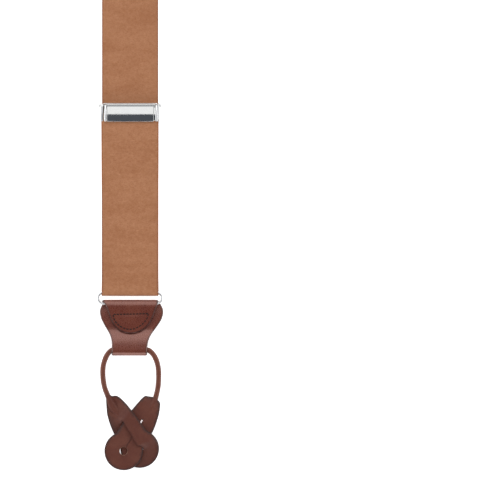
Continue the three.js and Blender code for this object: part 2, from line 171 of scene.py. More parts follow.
def evenly(line, step):
    """The same line with its points about one step apart."""
    lengths = [0.0]
    for a, b in zip(line, line[1:]):
        lengths.append(lengths[-1] + (b - a).length)
    count = max(2, round(lengths[-1] / step))
    result = []
    j = 0
    for i in range(count + 1):
        want = lengths[-1] * i / count
        while j < len(line) - 2 and lengths[j + 1] < want:
            j += 1
        span = lengths[j + 1] - lengths[j]
        result.append(line[j].lerp(line[j + 1], (want - lengths[j]) / span if span else 0.0))
    return result


def make_piece(name, points, faces, material, edge=None):
    """A mesh from points in millimetres, with how near each point is to a cut edge; on some leather pieces
    that value also carries painted shade.
    """
    mesh = bpy.data.meshes.new(name)
    mesh.from_pydata([tuple(c * MM for c in p) for p in points], [], faces)
    mesh.materials.append(material)
    for polygon in mesh.polygons:
        polygon.use_smooth = True
    layer = mesh.attributes.new("edge_and_shade", "FLOAT", "POINT")
    for i, value in enumerate(edge or []):
        layer.data[i].value = value
    mesh.validate()
    piece = bpy.data.objects.new(name, mesh)
    bpy.context.collection.objects.link(piece)
    return piece


def loft(rings, closed=False, caps=True):
    """Points and faces of a skin over rings of equal size."""
    size = len(rings[0])
    points = [p for ring in rings for p in ring]
    faces = []
    for i in range(len(rings) if closed else len(rings) - 1):
        j = (i + 1) % len(rings)
        for k in range(size):
            m = (k + 1) % size
            faces.append((i * size + k, i * size + m, j * size + m, j * size + k))
    if caps and not closed:
        faces.append(tuple(range(size))[::-1])
        faces.append(tuple((len(rings) - 1) * size + k for k in range(size)))
    return points, faces


def smooth_sharp(piece, angle=40.0):
    """Keeps the corners that turn by more than an angle crisp and the rest smooth."""
    piece.data.set_sharp_from_angle(angle=math.radians(angle))


# ---------------------------------------------------------------- shader building
def add(tree, kind, settings=None, **values):
    """One shader node, its inputs set to numbers or joined to other nodes' outputs."""
    made = tree.nodes.new("ShaderNode" + kind)
    for key, value in (settings or {}).items():
        setattr(made, key, value)
    for key, value in values.items():
        label = key.replace("_", " ")
        socket = made.inputs[int(key[1:]) if key[0] == "i" and key[1:].isdigit() else label]
        if isinstance(value, bpy.types.NodeSocket):
            tree.links.new(value, socket)
        else:
            socket.default_value = value
    return made


def new_group(name, takes, gives):
    """An empty shader group with its sockets; returns its tree, its input node and its output node."""
    tree = bpy.data.node_groups.new(name, "ShaderNodeTree")
    for label, kind, value in takes:
        socket = tree.interface.new_socket(name=label, in_out="INPUT", socket_type=kind)
        socket.default_value = value
    for label, kind in gives:
        tree.interface.new_socket(name=label, in_out="OUTPUT", socket_type=kind)
    return tree, tree.nodes.new("NodeGroupInput").outputs, tree.nodes.new("NodeGroupOutput").inputs


COLOUR = "NodeSocketColor"
NUMBER = "NodeSocketFloat"


def noise(tree, place, scale, detail=3.0, rough=0.5):
    """A cloudy pattern at a scale in cycles a metre."""
    return add(tree, "TexNoise", Vector=place, Scale=scale, Detail=detail, Roughness=rough)


def spread(tree, value, low, high, to_low=0.0, to_high=1.0):
    """A value stretched from one range to another and kept inside it."""
    ranges = {"From_Min": low, "From_Max": high, "To_Min": to_low, "To_Max": to_high}
    return add(tree, "MapRange", {"clamp": True}, Value=value, **ranges).outputs["Result"]


def blend_colour(tree, share, a, b, how="MIX"):
    """Colour a turned towards colour b by a share."""
    made = tree.nodes.new("ShaderNodeMix")
    made.data_type = "RGBA"
    made.blend_type = how
    for socket, value in ((made.inputs[0], share), (made.inputs[6], a), (made.inputs[7], b)):
        if isinstance(value, bpy.types.NodeSocket):
            tree.links.new(value, socket)
        else:
            socket.default_value = value
    return made.outputs[2]


def total(tree, a, b):
    """Sum of two values."""
    return add(tree, "Math", {"operation": "ADD"}, i0=a, i1=b).outputs[0]


def product(tree, a, b):
    """Product of two values."""
    return add(tree, "Math", {"operation": "MULTIPLY"}, i0=a, i1=b).outputs[0]


def weighted(tree, a, share_a, b, share_b):
    """Sum of two values, each with its share."""
    return total(tree, product(tree, a, share_a), product(tree, b, share_b))


def own_place(tree):
    """The point's place in the piece's own frame, for patterns that stay on the piece."""
    return add(tree, "TexCoord").outputs["Object"]


def turned_place(tree, place, scale, turn=0.0):
    """A place stretched and turned, for patterns that run one way."""
    return add(tree, "Mapping", Vector=place, Scale=scale, Rotation=(0, 0, turn)).outputs[0]


def edge_and_shade(tree):
    """How near the point is to a cut edge, as the meshes hold it, with the painted shade some meshes add to
    it.
    """
    return add(tree, "Attribute", {"attribute_name": "edge_and_shade"}).outputs["Fac"]


def suede_nap_group():
    """Brushed nap: short soft fibres, cloudy patches where the nap lies another way, small scuffs."""
    takes = [
        ("Nap Colour", COLOUR, (0.4, 0.2, 0.1, 1)),
        ("Brushed Colour", COLOUR, (0.5, 0.25, 0.13, 1)),
        ("Worn Colour", COLOUR, (0.3, 0.12, 0.06, 1)),
    ]
    tree, given, out = new_group("suede nap", takes, [("Colour", COLOUR), ("Height", NUMBER)])
    place = own_place(tree)
    lying = turned_place(tree, place, (0.6, 1.7, 1.0))
    fibres = noise(tree, lying, 1300.0, 5.0, 0.75).outputs["Fac"]
    mottle = noise(tree, place, 420.0, 4.0, 0.65).outputs["Fac"]
    clouds = noise(tree, lying, 70.0, 3.0, 0.55).outputs["Fac"]
    brushed = spread(tree, weighted(tree, mottle, 0.55, clouds, 0.45), 0.38, 0.66)
    shade = blend_colour(tree, brushed, given["Nap Colour"], given["Brushed Colour"])
    pits = spread(tree, fibres, 0.5, 0.3, 0.0, 0.5)
    shade = blend_colour(tree, pits, shade, given["Worn Colour"])
    scratched = noise(tree, turned_place(tree, place, (1, 6, 1), 0.9), 160.0, 2.0).outputs["Fac"]
    scuffs = spread(tree, scratched, 0.69, 0.76, 0.0, 0.3)
    shade = blend_colour(tree, scuffs, shade, given["Brushed Colour"], "SCREEN")
    worn = product(tree, edge_and_shade(tree), spread(tree, mottle, 0.3, 0.7, 0.55, 0.95))
    tree.links.new(blend_colour(tree, worn, shade, given["Worn Colour"]), out["Colour"])
    tree.links.new(weighted(tree, fibres, 0.6, mottle, 0.5), out["Height"])
    return tree


def leather_grain_group():
    """Smooth tanned leather: fine pebbles and pores, faint creases, colour rubbed up, and burnished edges
    whose dark edge colour also paints shade where a mesh marks it.
    """
    takes = [
        ("Hide Colour", COLOUR, (0.16, 0.05, 0.03, 1)),
        ("Rubbed Colour", COLOUR, (0.26, 0.1, 0.07, 1)),
        ("Edge Colour", COLOUR, (0.03, 0.015, 0.012, 1)),
        ("Grain Size", NUMBER, 1500.0),
        ("Base Roughness", NUMBER, 0.45),
    ]
    gives = [("Colour", COLOUR), ("Roughness", NUMBER), ("Height", NUMBER)]
    tree, given, out = new_group("leather grain", takes, gives)
    place = own_place(tree)
    pebble = add(tree, "TexVoronoi", {"feature": "DISTANCE_TO_EDGE"}, Vector=place, Scale=given["Grain Size"])
    pebbles = spread(tree, pebble.outputs["Distance"], 0.0, 0.22)
    pull_up = noise(tree, place, 95.0, 4.0, 0.6).outputs["Fac"]
    pores = noise(tree, place, 2300.0, 3.0, 0.6).outputs["Fac"]
    creased = noise(tree, turned_place(tree, place, (1, 5, 1)), 110.0, 5.0, 0.7).outputs["Fac"]
    creases = spread(tree, creased, 0.4, 0.5)
    rubbed = spread(tree, pull_up, 0.38, 0.72, 0.0, 0.75)
    shade = blend_colour(tree, rubbed, given["Hide Colour"], given["Rubbed Colour"])
    dark_pores = spread(tree, product(tree, pores, pebbles), 0.32, 0.05, 0.0, 0.26)
    shade = blend_colour(tree, dark_pores, shade, given["Edge Colour"])
    # Burnished edges, and painted shade where a mesh raises its edge value, both turn towards the dark edge
    # colour.
    burnished_and_shaded = product(tree, edge_and_shade(tree), spread(tree, pull_up, 0.3, 0.7, 0.8, 1.0))
    tree.links.new(blend_colour(tree, burnished_and_shaded, shade, given["Edge Colour"]), out["Colour"])
    handled_and_shaded = spread(tree, pores, 0.3, 0.7, -0.07, 0.09)
    tree.links.new(total(tree, given["Base Roughness"], handled_and_shaded), out["Roughness"])
    height = total(tree, weighted(tree, pebbles, 0.6, creases, 0.5), product(tree, pores, 0.25))
    tree.links.new(height, out["Height"])
    return tree


DULL_PLATE = (0.45, 0.45, 0.46, 1)


def plate_wear_group():
    """Hairline scratches and faint smudges on plate."""
    takes = [("Base Roughness", NUMBER, 0.1), ("Plate Colour", COLOUR, (0.7, 0.7, 0.7, 1))]
    gives = [("Colour", COLOUR), ("Roughness", NUMBER), ("Height", NUMBER)]
    tree, given, out = new_group("plate wear", takes, gives)
    place = own_place(tree)
    brushed = turned_place(tree, place, (0.12, 2.5, 1.0), 0.05)
    hairlines = noise(tree, brushed, 3200.0, 3.0, 0.7).outputs["Fac"]
    smudges = noise(tree, place, 210.0, 3.0, 0.6).outputs["Fac"]
    rough = total(tree, given["Base Roughness"], spread(tree, smudges, 0.4, 0.75, 0.0, 0.09))
    rough = total(tree, rough, spread(tree, hairlines, 0.62, 0.8, 0.0, 0.1))
    tree.links.new(rough, out["Roughness"])
    dull = spread(tree, smudges, 0.35, 0.75, 0.0, 0.22)
    tree.links.new(blend_colour(tree, dull, given["Plate Colour"], DULL_PLATE), out["Colour"])
    tree.links.new(hairlines, out["Height"])
    return tree


def webbing_weave_group():
    """Elastic webbing: fine ribs across the strap, crossed by lengthwise yarns, with a plain woven edge."""
    takes = [
        ("Rib Colour", COLOUR, (0.3, 0.12, 0.06, 1)),
        ("Gap Colour", COLOUR, (0.12, 0.05, 0.03, 1)),
    ]
    tree, given, out = new_group("webbing weave", takes, [("Colour", COLOUR), ("Height", NUMBER)])
    place = own_place(tree)

    def yarns(direction, scale, distortion):
        settings = {"wave_type": "BANDS", "wave_profile": "SIN", "bands_direction": direction}
        made = add(tree, "TexWave", settings, Vector=place, Scale=scale, Distortion=distortion)
        return made.outputs["Fac"]

    ribs = yarns("Y", 260.0, 0.4)
    lengthwise = spread(tree, yarns("X", 420.0, 0.6), 0.0, 1.0, 0.6, 1.0)
    fuzz = noise(tree, place, 900.0, 4.0, 0.7).outputs["Fac"]
    weave = weighted(tree, product(tree, ribs, lengthwise), 0.75, fuzz, 0.35)
    shade = blend_colour(tree, spread(tree, weave, 0.1, 0.8), given["Gap Colour"], given["Rib Colour"])
    selvedge = product(tree, edge_and_shade(tree), 0.5)
    tree.links.new(blend_colour(tree, selvedge, shade, given["Gap Colour"]), out["Colour"])
    tree.links.new(weave, out["Height"])
    return tree


SUEDE_NAP = suede_nap_group()
LEATHER_GRAIN = leather_grain_group()
WEBBING_WEAVE = webbing_weave_group()
PLATE_WEAR = plate_wear_group()


def finish_material(name, group, values, bump_depth, roughness=None, **constants):
    """A material from one shared group: varying outputs feed the shader, constants are set on it."""
    made = bpy.data.materials.new(name)
    made.use_nodes = True
    tree = made.node_tree
    tree.nodes.clear()
    shader = tree.nodes.new("ShaderNodeBsdfPrincipled")
    surface = tree.nodes.new("ShaderNodeOutputMaterial")
    tree.links.new(shader.outputs[0], surface.inputs[0])
    effect = tree.nodes.new("ShaderNodeGroup")
    effect.node_tree = group
    for label, value in values.items():
        effect.inputs[label].default_value = value
    tree.links.new(effect.outputs["Colour"], shader.inputs["Base Color"])
    if "Roughness" in effect.outputs:
        tree.links.new(effect.outputs["Roughness"], shader.inputs["Roughness"])
    if roughness is not None:
        shader.inputs["Roughness"].default_value = roughness
    bump = add(tree, "Bump", Height=effect.outputs["Height"], Distance=bump_depth * MM, Strength=1.0)
    tree.links.new(bump.outputs[0], shader.inputs["Normal"])
    for label, value in constants.items():
        shader.inputs[label.replace("_", " ")].default_value = value
    return made


def colour(r, g, b):
    """A shade named by its usual 0 to 255 values."""

    def flat(v):
        v /= 255
        return v / 12.92 if v <= 0.04045 else ((v + 0.055) / 1.055) ** 2.4

    return (flat(r), flat(g), flat(b), 1.0)


TAN_SUEDE = finish_material(
    "tan suede",
    SUEDE_NAP,
    {
        "Nap Colour": colour(170, 114, 79),
        "Brushed Colour": colour(187, 132, 96),
        "Worn Colour": colour(126, 73, 48),
    },
    0.25,
    roughness=0.95,
    Sheen_Weight=0.1,
    Sheen_Roughness=0.5,
    Specular_IOR_Level=0.2,
)
BROWN_LEATHER = finish_material(
    "brown leather",
    LEATHER_GRAIN,
    {
        "Hide Colour": colour(104, 46, 31),
        "Rubbed Colour": colour(126, 67, 47),
        "Edge Colour": colour(32, 16, 14),
        "Grain Size": 1700.0,
        "Base Roughness": 0.28,
    },
    0.009,
    Specular_IOR_Level=1.0,
    IOR=1.6,
    Specular_Tint=(1.0, 0.66, 0.58, 1.0),
)
ROLLED_LEATHER = finish_material(
    "rolled cord leather",
    LEATHER_GRAIN,
    {
        "Hide Colour": colour(104, 54, 39),
        "Rubbed Colour": colour(122, 71, 53),
        "Edge Colour": colour(38, 22, 20),
        "Grain Size": 1900.0,
        "Base Roughness": 0.42,
    },
    0.05,
    Specular_IOR_Level=0.6,
    Specular_Tint=(1.0, 0.7, 0.62, 1.0),
)
TAB_LEATHER = finish_material(
    "button tab leather",
    LEATHER_GRAIN,
    {
        "Hide Colour": colour(97, 46, 31),
        "Rubbed Colour": colour(112, 62, 45),
        "Edge Colour": colour(38, 22, 20),
        "Grain Size": 1900.0,
        "Base Roughness": 0.52,
    },
    0.05,
    Specular_IOR_Level=0.4,
)
LINING_LEATHER = finish_material(
    "lining leather",
    LEATHER_GRAIN,
    {
        "Hide Colour": colour(150, 112, 84),
        "Rubbed Colour": colour(170, 132, 103),
        "Edge Colour": colour(92, 64, 47),
        "Grain Size": 900.0,
        "Base Roughness": 0.7,
    },
    0.08,
    Specular_IOR_Level=0.3,
)
RAW_LEATHER = finish_material(
    "raw leather edge",
    SUEDE_NAP,
    {
        "Nap Colour": colour(206, 176, 150),
        "Brushed Colour": colour(226, 200, 176),
        "Worn Colour": colour(170, 130, 104),
    },
    0.1,
    roughness=0.9,
)
STITCH_THREAD = finish_material(
    "waxed thread",
    SUEDE_NAP,
    {
        "Nap Colour": colour(22, 14, 13),
        "Brushed Colour": colour(34, 24, 21),
        "Worn Colour": colour(14, 10, 9),
    },
    0.05,
    roughness=0.6,
    Specular_IOR_Level=0.25,
)
ELASTIC_WEBBING = finish_material(
    "elastic webbing",
    WEBBING_WEAVE,
    {"Rib Colour": colour(140, 92, 64), "Gap Colour": colour(92, 56, 38)},
    0.22,
    roughness=0.85,
    Specular_IOR_Level=0.25,
)
SATIN_NICKEL = finish_material(
    "satin nickel",
    PLATE_WEAR,
    {"Base Roughness": 0.34, "Plate Colour": colour(232, 232, 231)},
    0.004,
    Metallic=1.0,
)
NICKEL = finish_material(
    "nickel plate",
    PLATE_WEAR,
    {"Base Roughness": 0.1, "Plate Colour": colour(180, 180, 178)},
    0.004,
    Metallic=1.0,
)


# ---------------------------------------------------------------- straps and tabs: shaping
def strap_section(half, thick, crown=0.0, turn=0.55, columns=8):
    """Points round a section as (across, up, edge), from the left edge over the top and back underneath."""
    inner = half - turn
    near = inner - min(0.6, inner * 0.25)
    steps = [-inner] + [near * (2 * k / columns - 1) for k in range(columns + 1)] + [inner]
    ring = []
    for a in (235, 208, 180, 152, 125):
        turned = math.radians(a)
        ring.append((-inner + turn * math.cos(turned), thick / 2 * math.sin(turned), 1.0))
    for u in steps:
        lift = crown * (1 - (u / inner) ** 2)
        ring.append((u, thick / 2 + lift, 0.45 if abs(u) > near + 1e-6 else 0.0))
    for a in (55, 28, 0, -28, -55):
        turned = math.radians(a)
        ring.append((inner + turn * math.cos(turned), thick / 2 * math.sin(turned), 1.0))
    for u in reversed(steps):
        ring.append((u, -thick / 2, 0.45 if abs(u) > near + 1e-6 else 0.0))
    return ring


def ribbon(name, line, up, halves, thick, material, crown=0.0, turn=0.55):
    """A strip of even thickness along a line. up gives the face's direction at a point number."""
    rings = []
    edges = []
    for i, p in enumerate(line):
        along = (line[min(i + 1, len(line) - 1)] - line[max(i - 1, 0)]).normalized()
        face = up(i) - along * up(i).dot(along)
        face.normalize()
        side = along.cross(face)
        section = strap_section(halves[i], thick, crown, min(turn, halves[i] * 0.5))
        rings.append([p + side * u + face * n for u, n, _ in section])
        at_end = i in (0, len(line) - 1)
        edges += [1.0 if at_end else e for _, _, e in section]
    points, faces = loft(rings)
    return make_piece(name, points, faces, material, edges)


def straight_up(_):
    """The face's direction on a strip that lies flat."""
    return Vector((0, 0, 1))


def outward(line, towards):
    """For a strip that folds back on itself in the Y-Z plane: its outer face at each point."""

    def face(i):
        along = (line[min(i + 1, len(line) - 1)] - line[max(i - 1, 0)]).normalized()
        return towards.cross(along)

    return face


def inset(outline, depth):
    """A closed outline moved to its left by a depth."""
    moved = []
    for i, p in enumerate(outline):
        run = (outline[(i + 1) % len(outline)] - outline[i - 1]).normalized()
        moved.append(p + Vector((-run.y, run.x)) * depth)
    return moved


def inside(p, outline):
    """Whether a point is inside a closed outline."""
    hit = False
    for i, a in enumerate(outline):
        b = outline[i - 1]
        if (a.y > p.y) != (b.y > p.y) and p.x < (b.x - a.x) * (p.y - a.y) / (b.y - a.y) + a.x:
            hit = not hit
    return hit


def flat_leather(
    name, outline, holes, height_at, thick, material,
    rim=0.5, grid=1.7, hole_rim=0.5, raw_holes=None, raw_near=None,
):
    """A flat leather shape with rounded cut edges. The outline runs anticlockwise, holes clockwise.

    height_at(x, y) gives the height of the leather's middle. raw_holes is the material of the holes'
    cut walls, used within each (centre, reach) of raw_near.
    """
    loops = [outline] + holes
    depths = [rim] + [hole_rim] * len(holes)
    rounding = [math.radians(a) for a in (-90, -50, 0, 50, 90)]
    turns = [1 - math.cos(a) for a in rounding]
    rims = [[inset(loop, depth * turn) for turn in turns] for loop, depth in zip(loops, depths)]
    heights = [thick / 2 * math.sin(a) for a in rounding]
    points = []
    edges = []
    faces = []
    starts = []
    for depth_number, rim_rings in enumerate(rims):
        ids = []
        for ring, height in zip(rim_rings, heights):
            ids.append(len(points))
            for p in ring:
                points.append(Vector((p.x, p.y, height_at(p.x, p.y) + height)))
                face_edge = 0.2 if hole_rim < 0.2 and depth_number else 0.75
                edges.append(face_edge if abs(height) > thick * 0.45 else 1.0)
        starts.append(ids)
        size = len(rim_rings[0])
        for low, high in zip(ids, ids[1:]):
            for k in range(size):
                m = (k + 1) % size
                faces.append((low + k, low + m, high + m, high + k))
    inner_loops = [rim_rings[-1] for rim_rings in rims]
    xs = [p.x for p in outline]
    ys = [p.y for p in outline]
    seeds = []
    margin = inset(inner_loops[0], grid * 0.5)
    hole_margins = [inset(loop, grid * 0.4) for loop in inner_loops[1:]]
    y = min(ys)
    row = 0
    while y < max(ys):
        x = min(xs) + (grid / 2 if row % 2 else 0)
        while x < max(xs):
            p = Vector((x, y))
            if inside(p, margin) and not any(inside(p, h) for h in hole_margins):
                seeds.append(p)
            x += grid
        y += grid * 0.87
        row += 1
    flat = [p for loop in inner_loops for p in loop] + seeds
    ties = []
    first = 0
    for loop in inner_loops:
        ties += [(first + k, first + (k + 1) % len(loop)) for k in range(len(loop))]
        first += len(loop)
    made, _, triangles, _, _, _ = delaunay_2d_cdt(flat, ties, [], 0, 1e-7)
    lookup = {}
    for side in (1, -1):
        ring_number = -1 if side > 0 else 0
        number = 0
        own = {}
        for loop_number, loop in enumerate(inner_loops):
            for k in range(len(loop)):
                own[number] = starts[loop_number][ring_number] + k
                number += 1
        for k in range(number, len(made)):
            p = made[k]
            own[k] = len(points)
            points.append(Vector((p.x, p.y, height_at(p.x, p.y) + side * thick / 2)))
            edges.append(0.0)
        lookup[side] = own
    for tri in triangles:
        middle = (made[tri[0]] + made[tri[1]] + made[tri[2]]) / 3
        if not inside(middle, inner_loops[0]) or any(inside(middle, h) for h in inner_loops[1:]):
            continue
        a, b, c = (made[t] for t in tri)
        if (b - a).cross(c - a) < 0:
            tri = tri[::-1]
        faces.append(tuple(lookup[1][t] for t in tri))
        faces.append(tuple(lookup[-1][t] for t in reversed(tri)))
    piece = make_piece(name, points, faces, material, edges)
    if raw_holes:
        piece.data.materials.append(raw_holes)
        first_hole = starts[1][0]
        first_seed = starts[-1][-1] + len(rims[-1][0])
        for polygon in piece.data.polygons:
            if not all(first_hole <= v < first_seed for v in polygon.vertices):
                continue
            for centre, reach in raw_near:
                if all((points[v].xy - centre).length < reach for v in polygon.vertices):
                    polygon.material_index = 1
    return piece


# One stitch: (place along its length, share of the thread's radius, how far it dips in)
STITCH_SHAPE = [(-0.5, 0.35, 0.5), (-0.36, 0.85, 0.12), (0, 1.0, 0), (0.36, 0.85, 0.12), (0.5, 0.35, 0.5)]


def stitches(name, line, length, radius, sink=0.1):
    """Short thread stitches end to end along a line that lies on the leather."""
    up = Vector((0, 0, 1))
    points = []
    faces = []
    for a, b in zip(line, line[1:]):
        run = (b - a).normalized()
        middle = (a + b) / 2
        side = run.cross(up)
        rings = []
        for place, size, drop in STITCH_SHAPE:
            centre = middle + run * length * place - up * radius * (sink + drop)
            ring = []
            for k in range(6):
                t = 2 * math.pi * k / 6
                ring.append(centre + (side * math.cos(t) - up * -math.sin(t)) * radius * size)
            rings.append(ring)
        stitch_points, stitch_faces = loft(rings)
        base = len(points)
        points += stitch_points
        faces += [tuple(base + v for v in f)[::-1] for f in stitch_faces]
    return make_piece(name, points, faces, STITCH_THREAD)


def place_piece(piece, x, y, turned=False):
    """Moves a drawn piece to its place: a shift, after half a turn for the back end."""
    move = Matrix.Translation((x * MM, y * MM, 0))
    if turned:
        move = move @ Matrix.Rotation(math.pi, 4, "Z")
    piece.data.transform(move)
    return piece


# ---------------------------------------------------------------- suede straps
UPPER_END_Y = -358


def strap_line(way):
    """The middle of a front strap, from inside the back patch to behind the adjuster's lowest place."""
    start = Vector((way * LEG_X, BEND_Y + 1.5))
    entry = Vector((-way * PATCH_ENTRY[0], PATCH_ENTRY[1]))
    lean = Vector((-way * math.sin(PATCH_SLANT), math.cos(PATCH_SLANT)))
    hold = start + Vector((0, 128))
    pull = entry - lean * 130
    flat = [entry + lean * 17]
    steps = 40
    for k in range(steps + 1):
        t = 1 - k / steps
        s = 1 - t
        flat.append(start * s**3 + hold * 3 * s * s * t + pull * 3 * s * t * t + entry * t**3)
    flat.append(Vector((way * LEG_X, UPPER_END_Y)))
    line = []
    for p in evenly([Vector((p.x, p.y, 0)) for p in flat], 3.5):
        in_patch = 1.6 * smooth(p.y, 110, 160)
        on_frame = 1.0 * (1 - smooth(p.y, -187, -163))
        free = smooth(p.y, -160, -120) * (1 - smooth(p.y, 80, 120))
        waves = 0.12 * math.sin(p.y * 0.045 + way) ** 2 * free
        line.append(Vector((p.x, p.y, SUEDE / 2 + in_patch + on_frame + waves)))
    return line


def front_strap(side, way):
    """One length of suede from the back patch down to the run it slides in, behind the adjuster."""
    line = strap_line(way)
    halves = [STRAP_HALF + 0.12 * math.sin(p.y * 0.11 + way) for p in line]
    for i, p in enumerate(line):
        if p.y < -180:
            halves[i] = mix(STRAP_HALF - SLIDE_GAP, halves[i], smooth(p.y, -207, -182))
    strap = ribbon(f"{side}_front_strap", line, straight_up, halves, UPPER_SUEDE, TAN_SUEDE, crown=0.06)
    middle_gap = 0.12 * MM
    for vertex in strap.data.vertices:
        if vertex.co.x * way < middle_gap:
            vertex.co.x = way * middle_gap
    smooth_sharp(strap)
    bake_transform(strap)
    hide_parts(f"{side}_strap_upper", f"{side}_strap_lower")
    return strap


def arc_points(y, z, radius, start, stop, steps):
    """Points round a centre from one angle to another."""
    angles = [math.radians(start + (stop - start) * k / steps) for k in range(steps + 1)]
    return [(y + radius * math.cos(a), z + radius * math.sin(a)) for a in angles]


# How far the middle of the suede is from the middle of the bar and of the ring's wire
BAR_WRAP = 1.15
RING_WRAP = 1.58


def loop_line():
    """From the hem behind the adjuster's bar, over the bar, down to the ring and back up behind."""
    from_adjuster = [(-14.6, 3.25), (-9, 3.25)]
    from_adjuster += arc_points(-2.5, 4.4, BAR_WRAP, -90, 90, 10)
    from_adjuster += [(-4.6, 5.55), (-6.9, 5.5), (-12, 5.2), (-18, 4.6), (-26, 3.85), (-34, 3.4)]
    at_adjuster = [(y + ADJUSTER_Y, z) for y, z in from_adjuster]
    from_ring = [(70, 3.12), (50, 3.1), (38, 3.12), (28, 3.3), (20, 3.9), (15, 4.4), (11, 4.72)]
    from_ring += arc_points(7.3, RING_Z, RING_WRAP, 90, 270, 14)
    from_ring += [(12, 1.63), (20, 1.64), (40, 1.65), (80, 1.65), (127, 1.65)]
    at_ring = [(y - RING_Y, z) for y, z in from_ring]
    line = [Vector((0, y, z)) for y, z in at_adjuster + at_ring]
    return evenly(catmull(line, 6), 1.1)


# Half width of the front run against the distance below the adjuster, and of the run behind
LOOP_WIDTHS = [(0, 19.35), (20, 19.3), (60, 19.05), (95, 18.85), (113, 18.8), (119, 19.35)]
BEHIND_WIDTHS = (19.35, 19.12)
HEM_HALF = 18.9
HEM_POINTS = 16


def adjusted_loop(side, way):
    """The run of strap in front, its fold round the ring and the run behind, all one length of suede."""
    line = loop_line()
    lowest = min(range(len(line)), key=lambda i: line[i].y)
    halves = []
    for i, p in enumerate(line):
        if i < HEM_POINTS:
            halves.append(HEM_HALF)
        elif i <= lowest:
            halves.append(along_table(LOOP_WIDTHS, ADJUSTER_Y - 6 - p.y))
        else:
            halves.append(mix(*BEHIND_WIDTHS, smooth(p.y + RING_Y, 4, 20)))
    outer = outward(line, Vector((-1, 0, 0)))
    strap = ribbon(f"{side}_strap_loop", line, outer, halves, SUEDE, TAN_SUEDE, crown=0.05)
    for vertex in strap.data.vertices:
        x, y, z = (c / MM for c in vertex.co)
        above_ring = y + RING_Y
        if z <= 2.5:
            continue
        lift = 0.12 * math.sin(y * 0.09 + 1.0) * math.sin(x * 0.12 + 0.7)
        free = smooth(above_ring, 12, 30) * (1 - smooth(y - ADJUSTER_Y, -30, -12))
        vertex.co.z += lift * free * MM
    place_piece(strap, way * LEG_X, 0)
    smooth_sharp(strap)
    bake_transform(strap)
    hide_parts(f"{side}_strap_front", f"{side}_strap_fold")
    return strap


# ---------------------------------------------------------------- lever adjuster
def bevelled(name, low, high, width, material):
    """A bar between two corners, with rounded edges."""
    mesh = bmesh.new()
    made = bmesh.ops.create_cube(mesh, size=1.0)["verts"]
    for v in made:
        v.co = Vector(tuple(mix(low[k], high[k], v.co[k] + 0.5) * MM for k in range(3)))
    bmesh.ops.bevel(mesh, geom=mesh.edges[:], offset=width * MM, segments=3, profile=0.5, affect="EDGES")
    data = bpy.data.meshes.new(name)
    mesh.to_mesh(data)
    mesh.free()
    data.materials.append(material)
    for polygon in data.polygons:
        polygon.use_smooth = True
    piece = bpy.data.objects.new(name, data)
    bpy.context.collection.objects.link(piece)
    return piece


def joined(name, parts):
    """Several drawn parts as one piece."""
    with bpy.context.temp_override(active_object=parts[0], selected_editable_objects=parts):
        bpy.ops.object.join()
    parts[0].name = name
    parts[0].data.name = name
    return parts[0]


# Along a side rail: how far its top drops towards its two ends
RAIL_ENDS = [(-6.2, 1.2), (-6.0, 0.55), (-5.5, 0.2), (-4.5, 0), (4.0, 0), (5.2, 0.25), (5.9, 0.8), (6.2, 1.7)]

# Low and high corners of the frame's bars: top, bottom, left, right and the one the front run hangs on
FRAME_BARS = [
    ((-19.3, 3.2, 0.0), (19.3, 6.2, 0.8)),
    ((-19.3, -6.2, 0.0), (19.3, -3.4, 0.8)),
    ((-19.3, -6.2, 0.0), (-18.1, 6.2, 0.8)),
    ((18.1, -6.2, 0.0), (19.3, 6.2, 0.8)),
    ((-19.3, -4.8, 4.0), (19.3, -2.6, 4.8)),
]


def rail(x_sign, lip):
    """A side rail: a thin wall whose top is rolled over towards the strap, as far as its lip."""
    profile = [
        (20.05, 0.0), (20.05, 5.9), (19.95, 6.45), (19.6, 6.85), (19.25, 7.0), (lip + 0.5, 7.0),
        (lip + 0.15, 6.85), (lip, 6.6), (lip + 0.15, 6.35), (lip + 0.5, 6.3),
        (19.2, 6.2), (19.25, 5.9), (19.25, 0.0),
    ]
    rings = []
    for y, drop in RAIL_ENDS:
        ring = [Vector((x_sign * x, y, z - drop * (z > 3))) for x, z in profile]
        rings.append(ring if x_sign < 0 else ring[::-1])
    points, faces = loft(rings)
    piece = make_piece("rail", points, faces, SATIN_NICKEL)
    smooth_sharp(piece, 35)
    return piece


def adjuster_frame(side, way):
    """The slide: two rolled side rails, four flat bars under the strap and one that the run hangs on."""
    parts = [rail(-1, 18.1), rail(1, 18.75)]
    parts += [bevelled("bar", low, high, 0.18, NICKEL) for low, high in FRAME_BARS]
    piece = place_piece(joined(f"{side}_slide_frame", parts), way * LEG_X, ADJUSTER_Y)
    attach(piece, f"{side}_adjuster")
    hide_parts(f"{side}_adjuster_frame")
    return piece


def turned_part(name, profile, y, z, material=NICKEL):
    """A round part turned about the pivot's line, from (x, radius) pairs."""
    steps = 28
    rings = []
    for x, radius in profile:
        ring = []
        for k in range(steps):
            t = -2 * math.pi * k / steps
            ring.append(Vector((x, y + radius * math.sin(t), z + radius * math.cos(t))))
        rings.append(ring)
    points, faces = loft(rings)
    piece = make_piece(name, points, faces, material)
    smooth_sharp(piece, 35)
    return piece


def cover_line(start, stop, steps, lift=0.0):
    """The cover's arc from one angle to another, or one beside it."""
    arc = arc_points(*COVER_CENTRE, COVER_RADIUS + lift, start, stop, steps)
    return [Vector((0, y, z)) for y, z in arc]


# A cam tooth: its outline in (y, z) and the corners of each of its sides
TOOTH_WIDTH = 1.7
TOOTH_PROFILE = [(3.3, 4.4), (4.05, 2.6), (4.85, 2.6), (5.5, 4.4)]
TOOTH_SIDES = [(0, 1, 5, 4), (1, 2, 6, 5), (2, 3, 7, 6), (3, 0, 4, 7), (3, 2, 1, 0), (4, 5, 6, 7)]


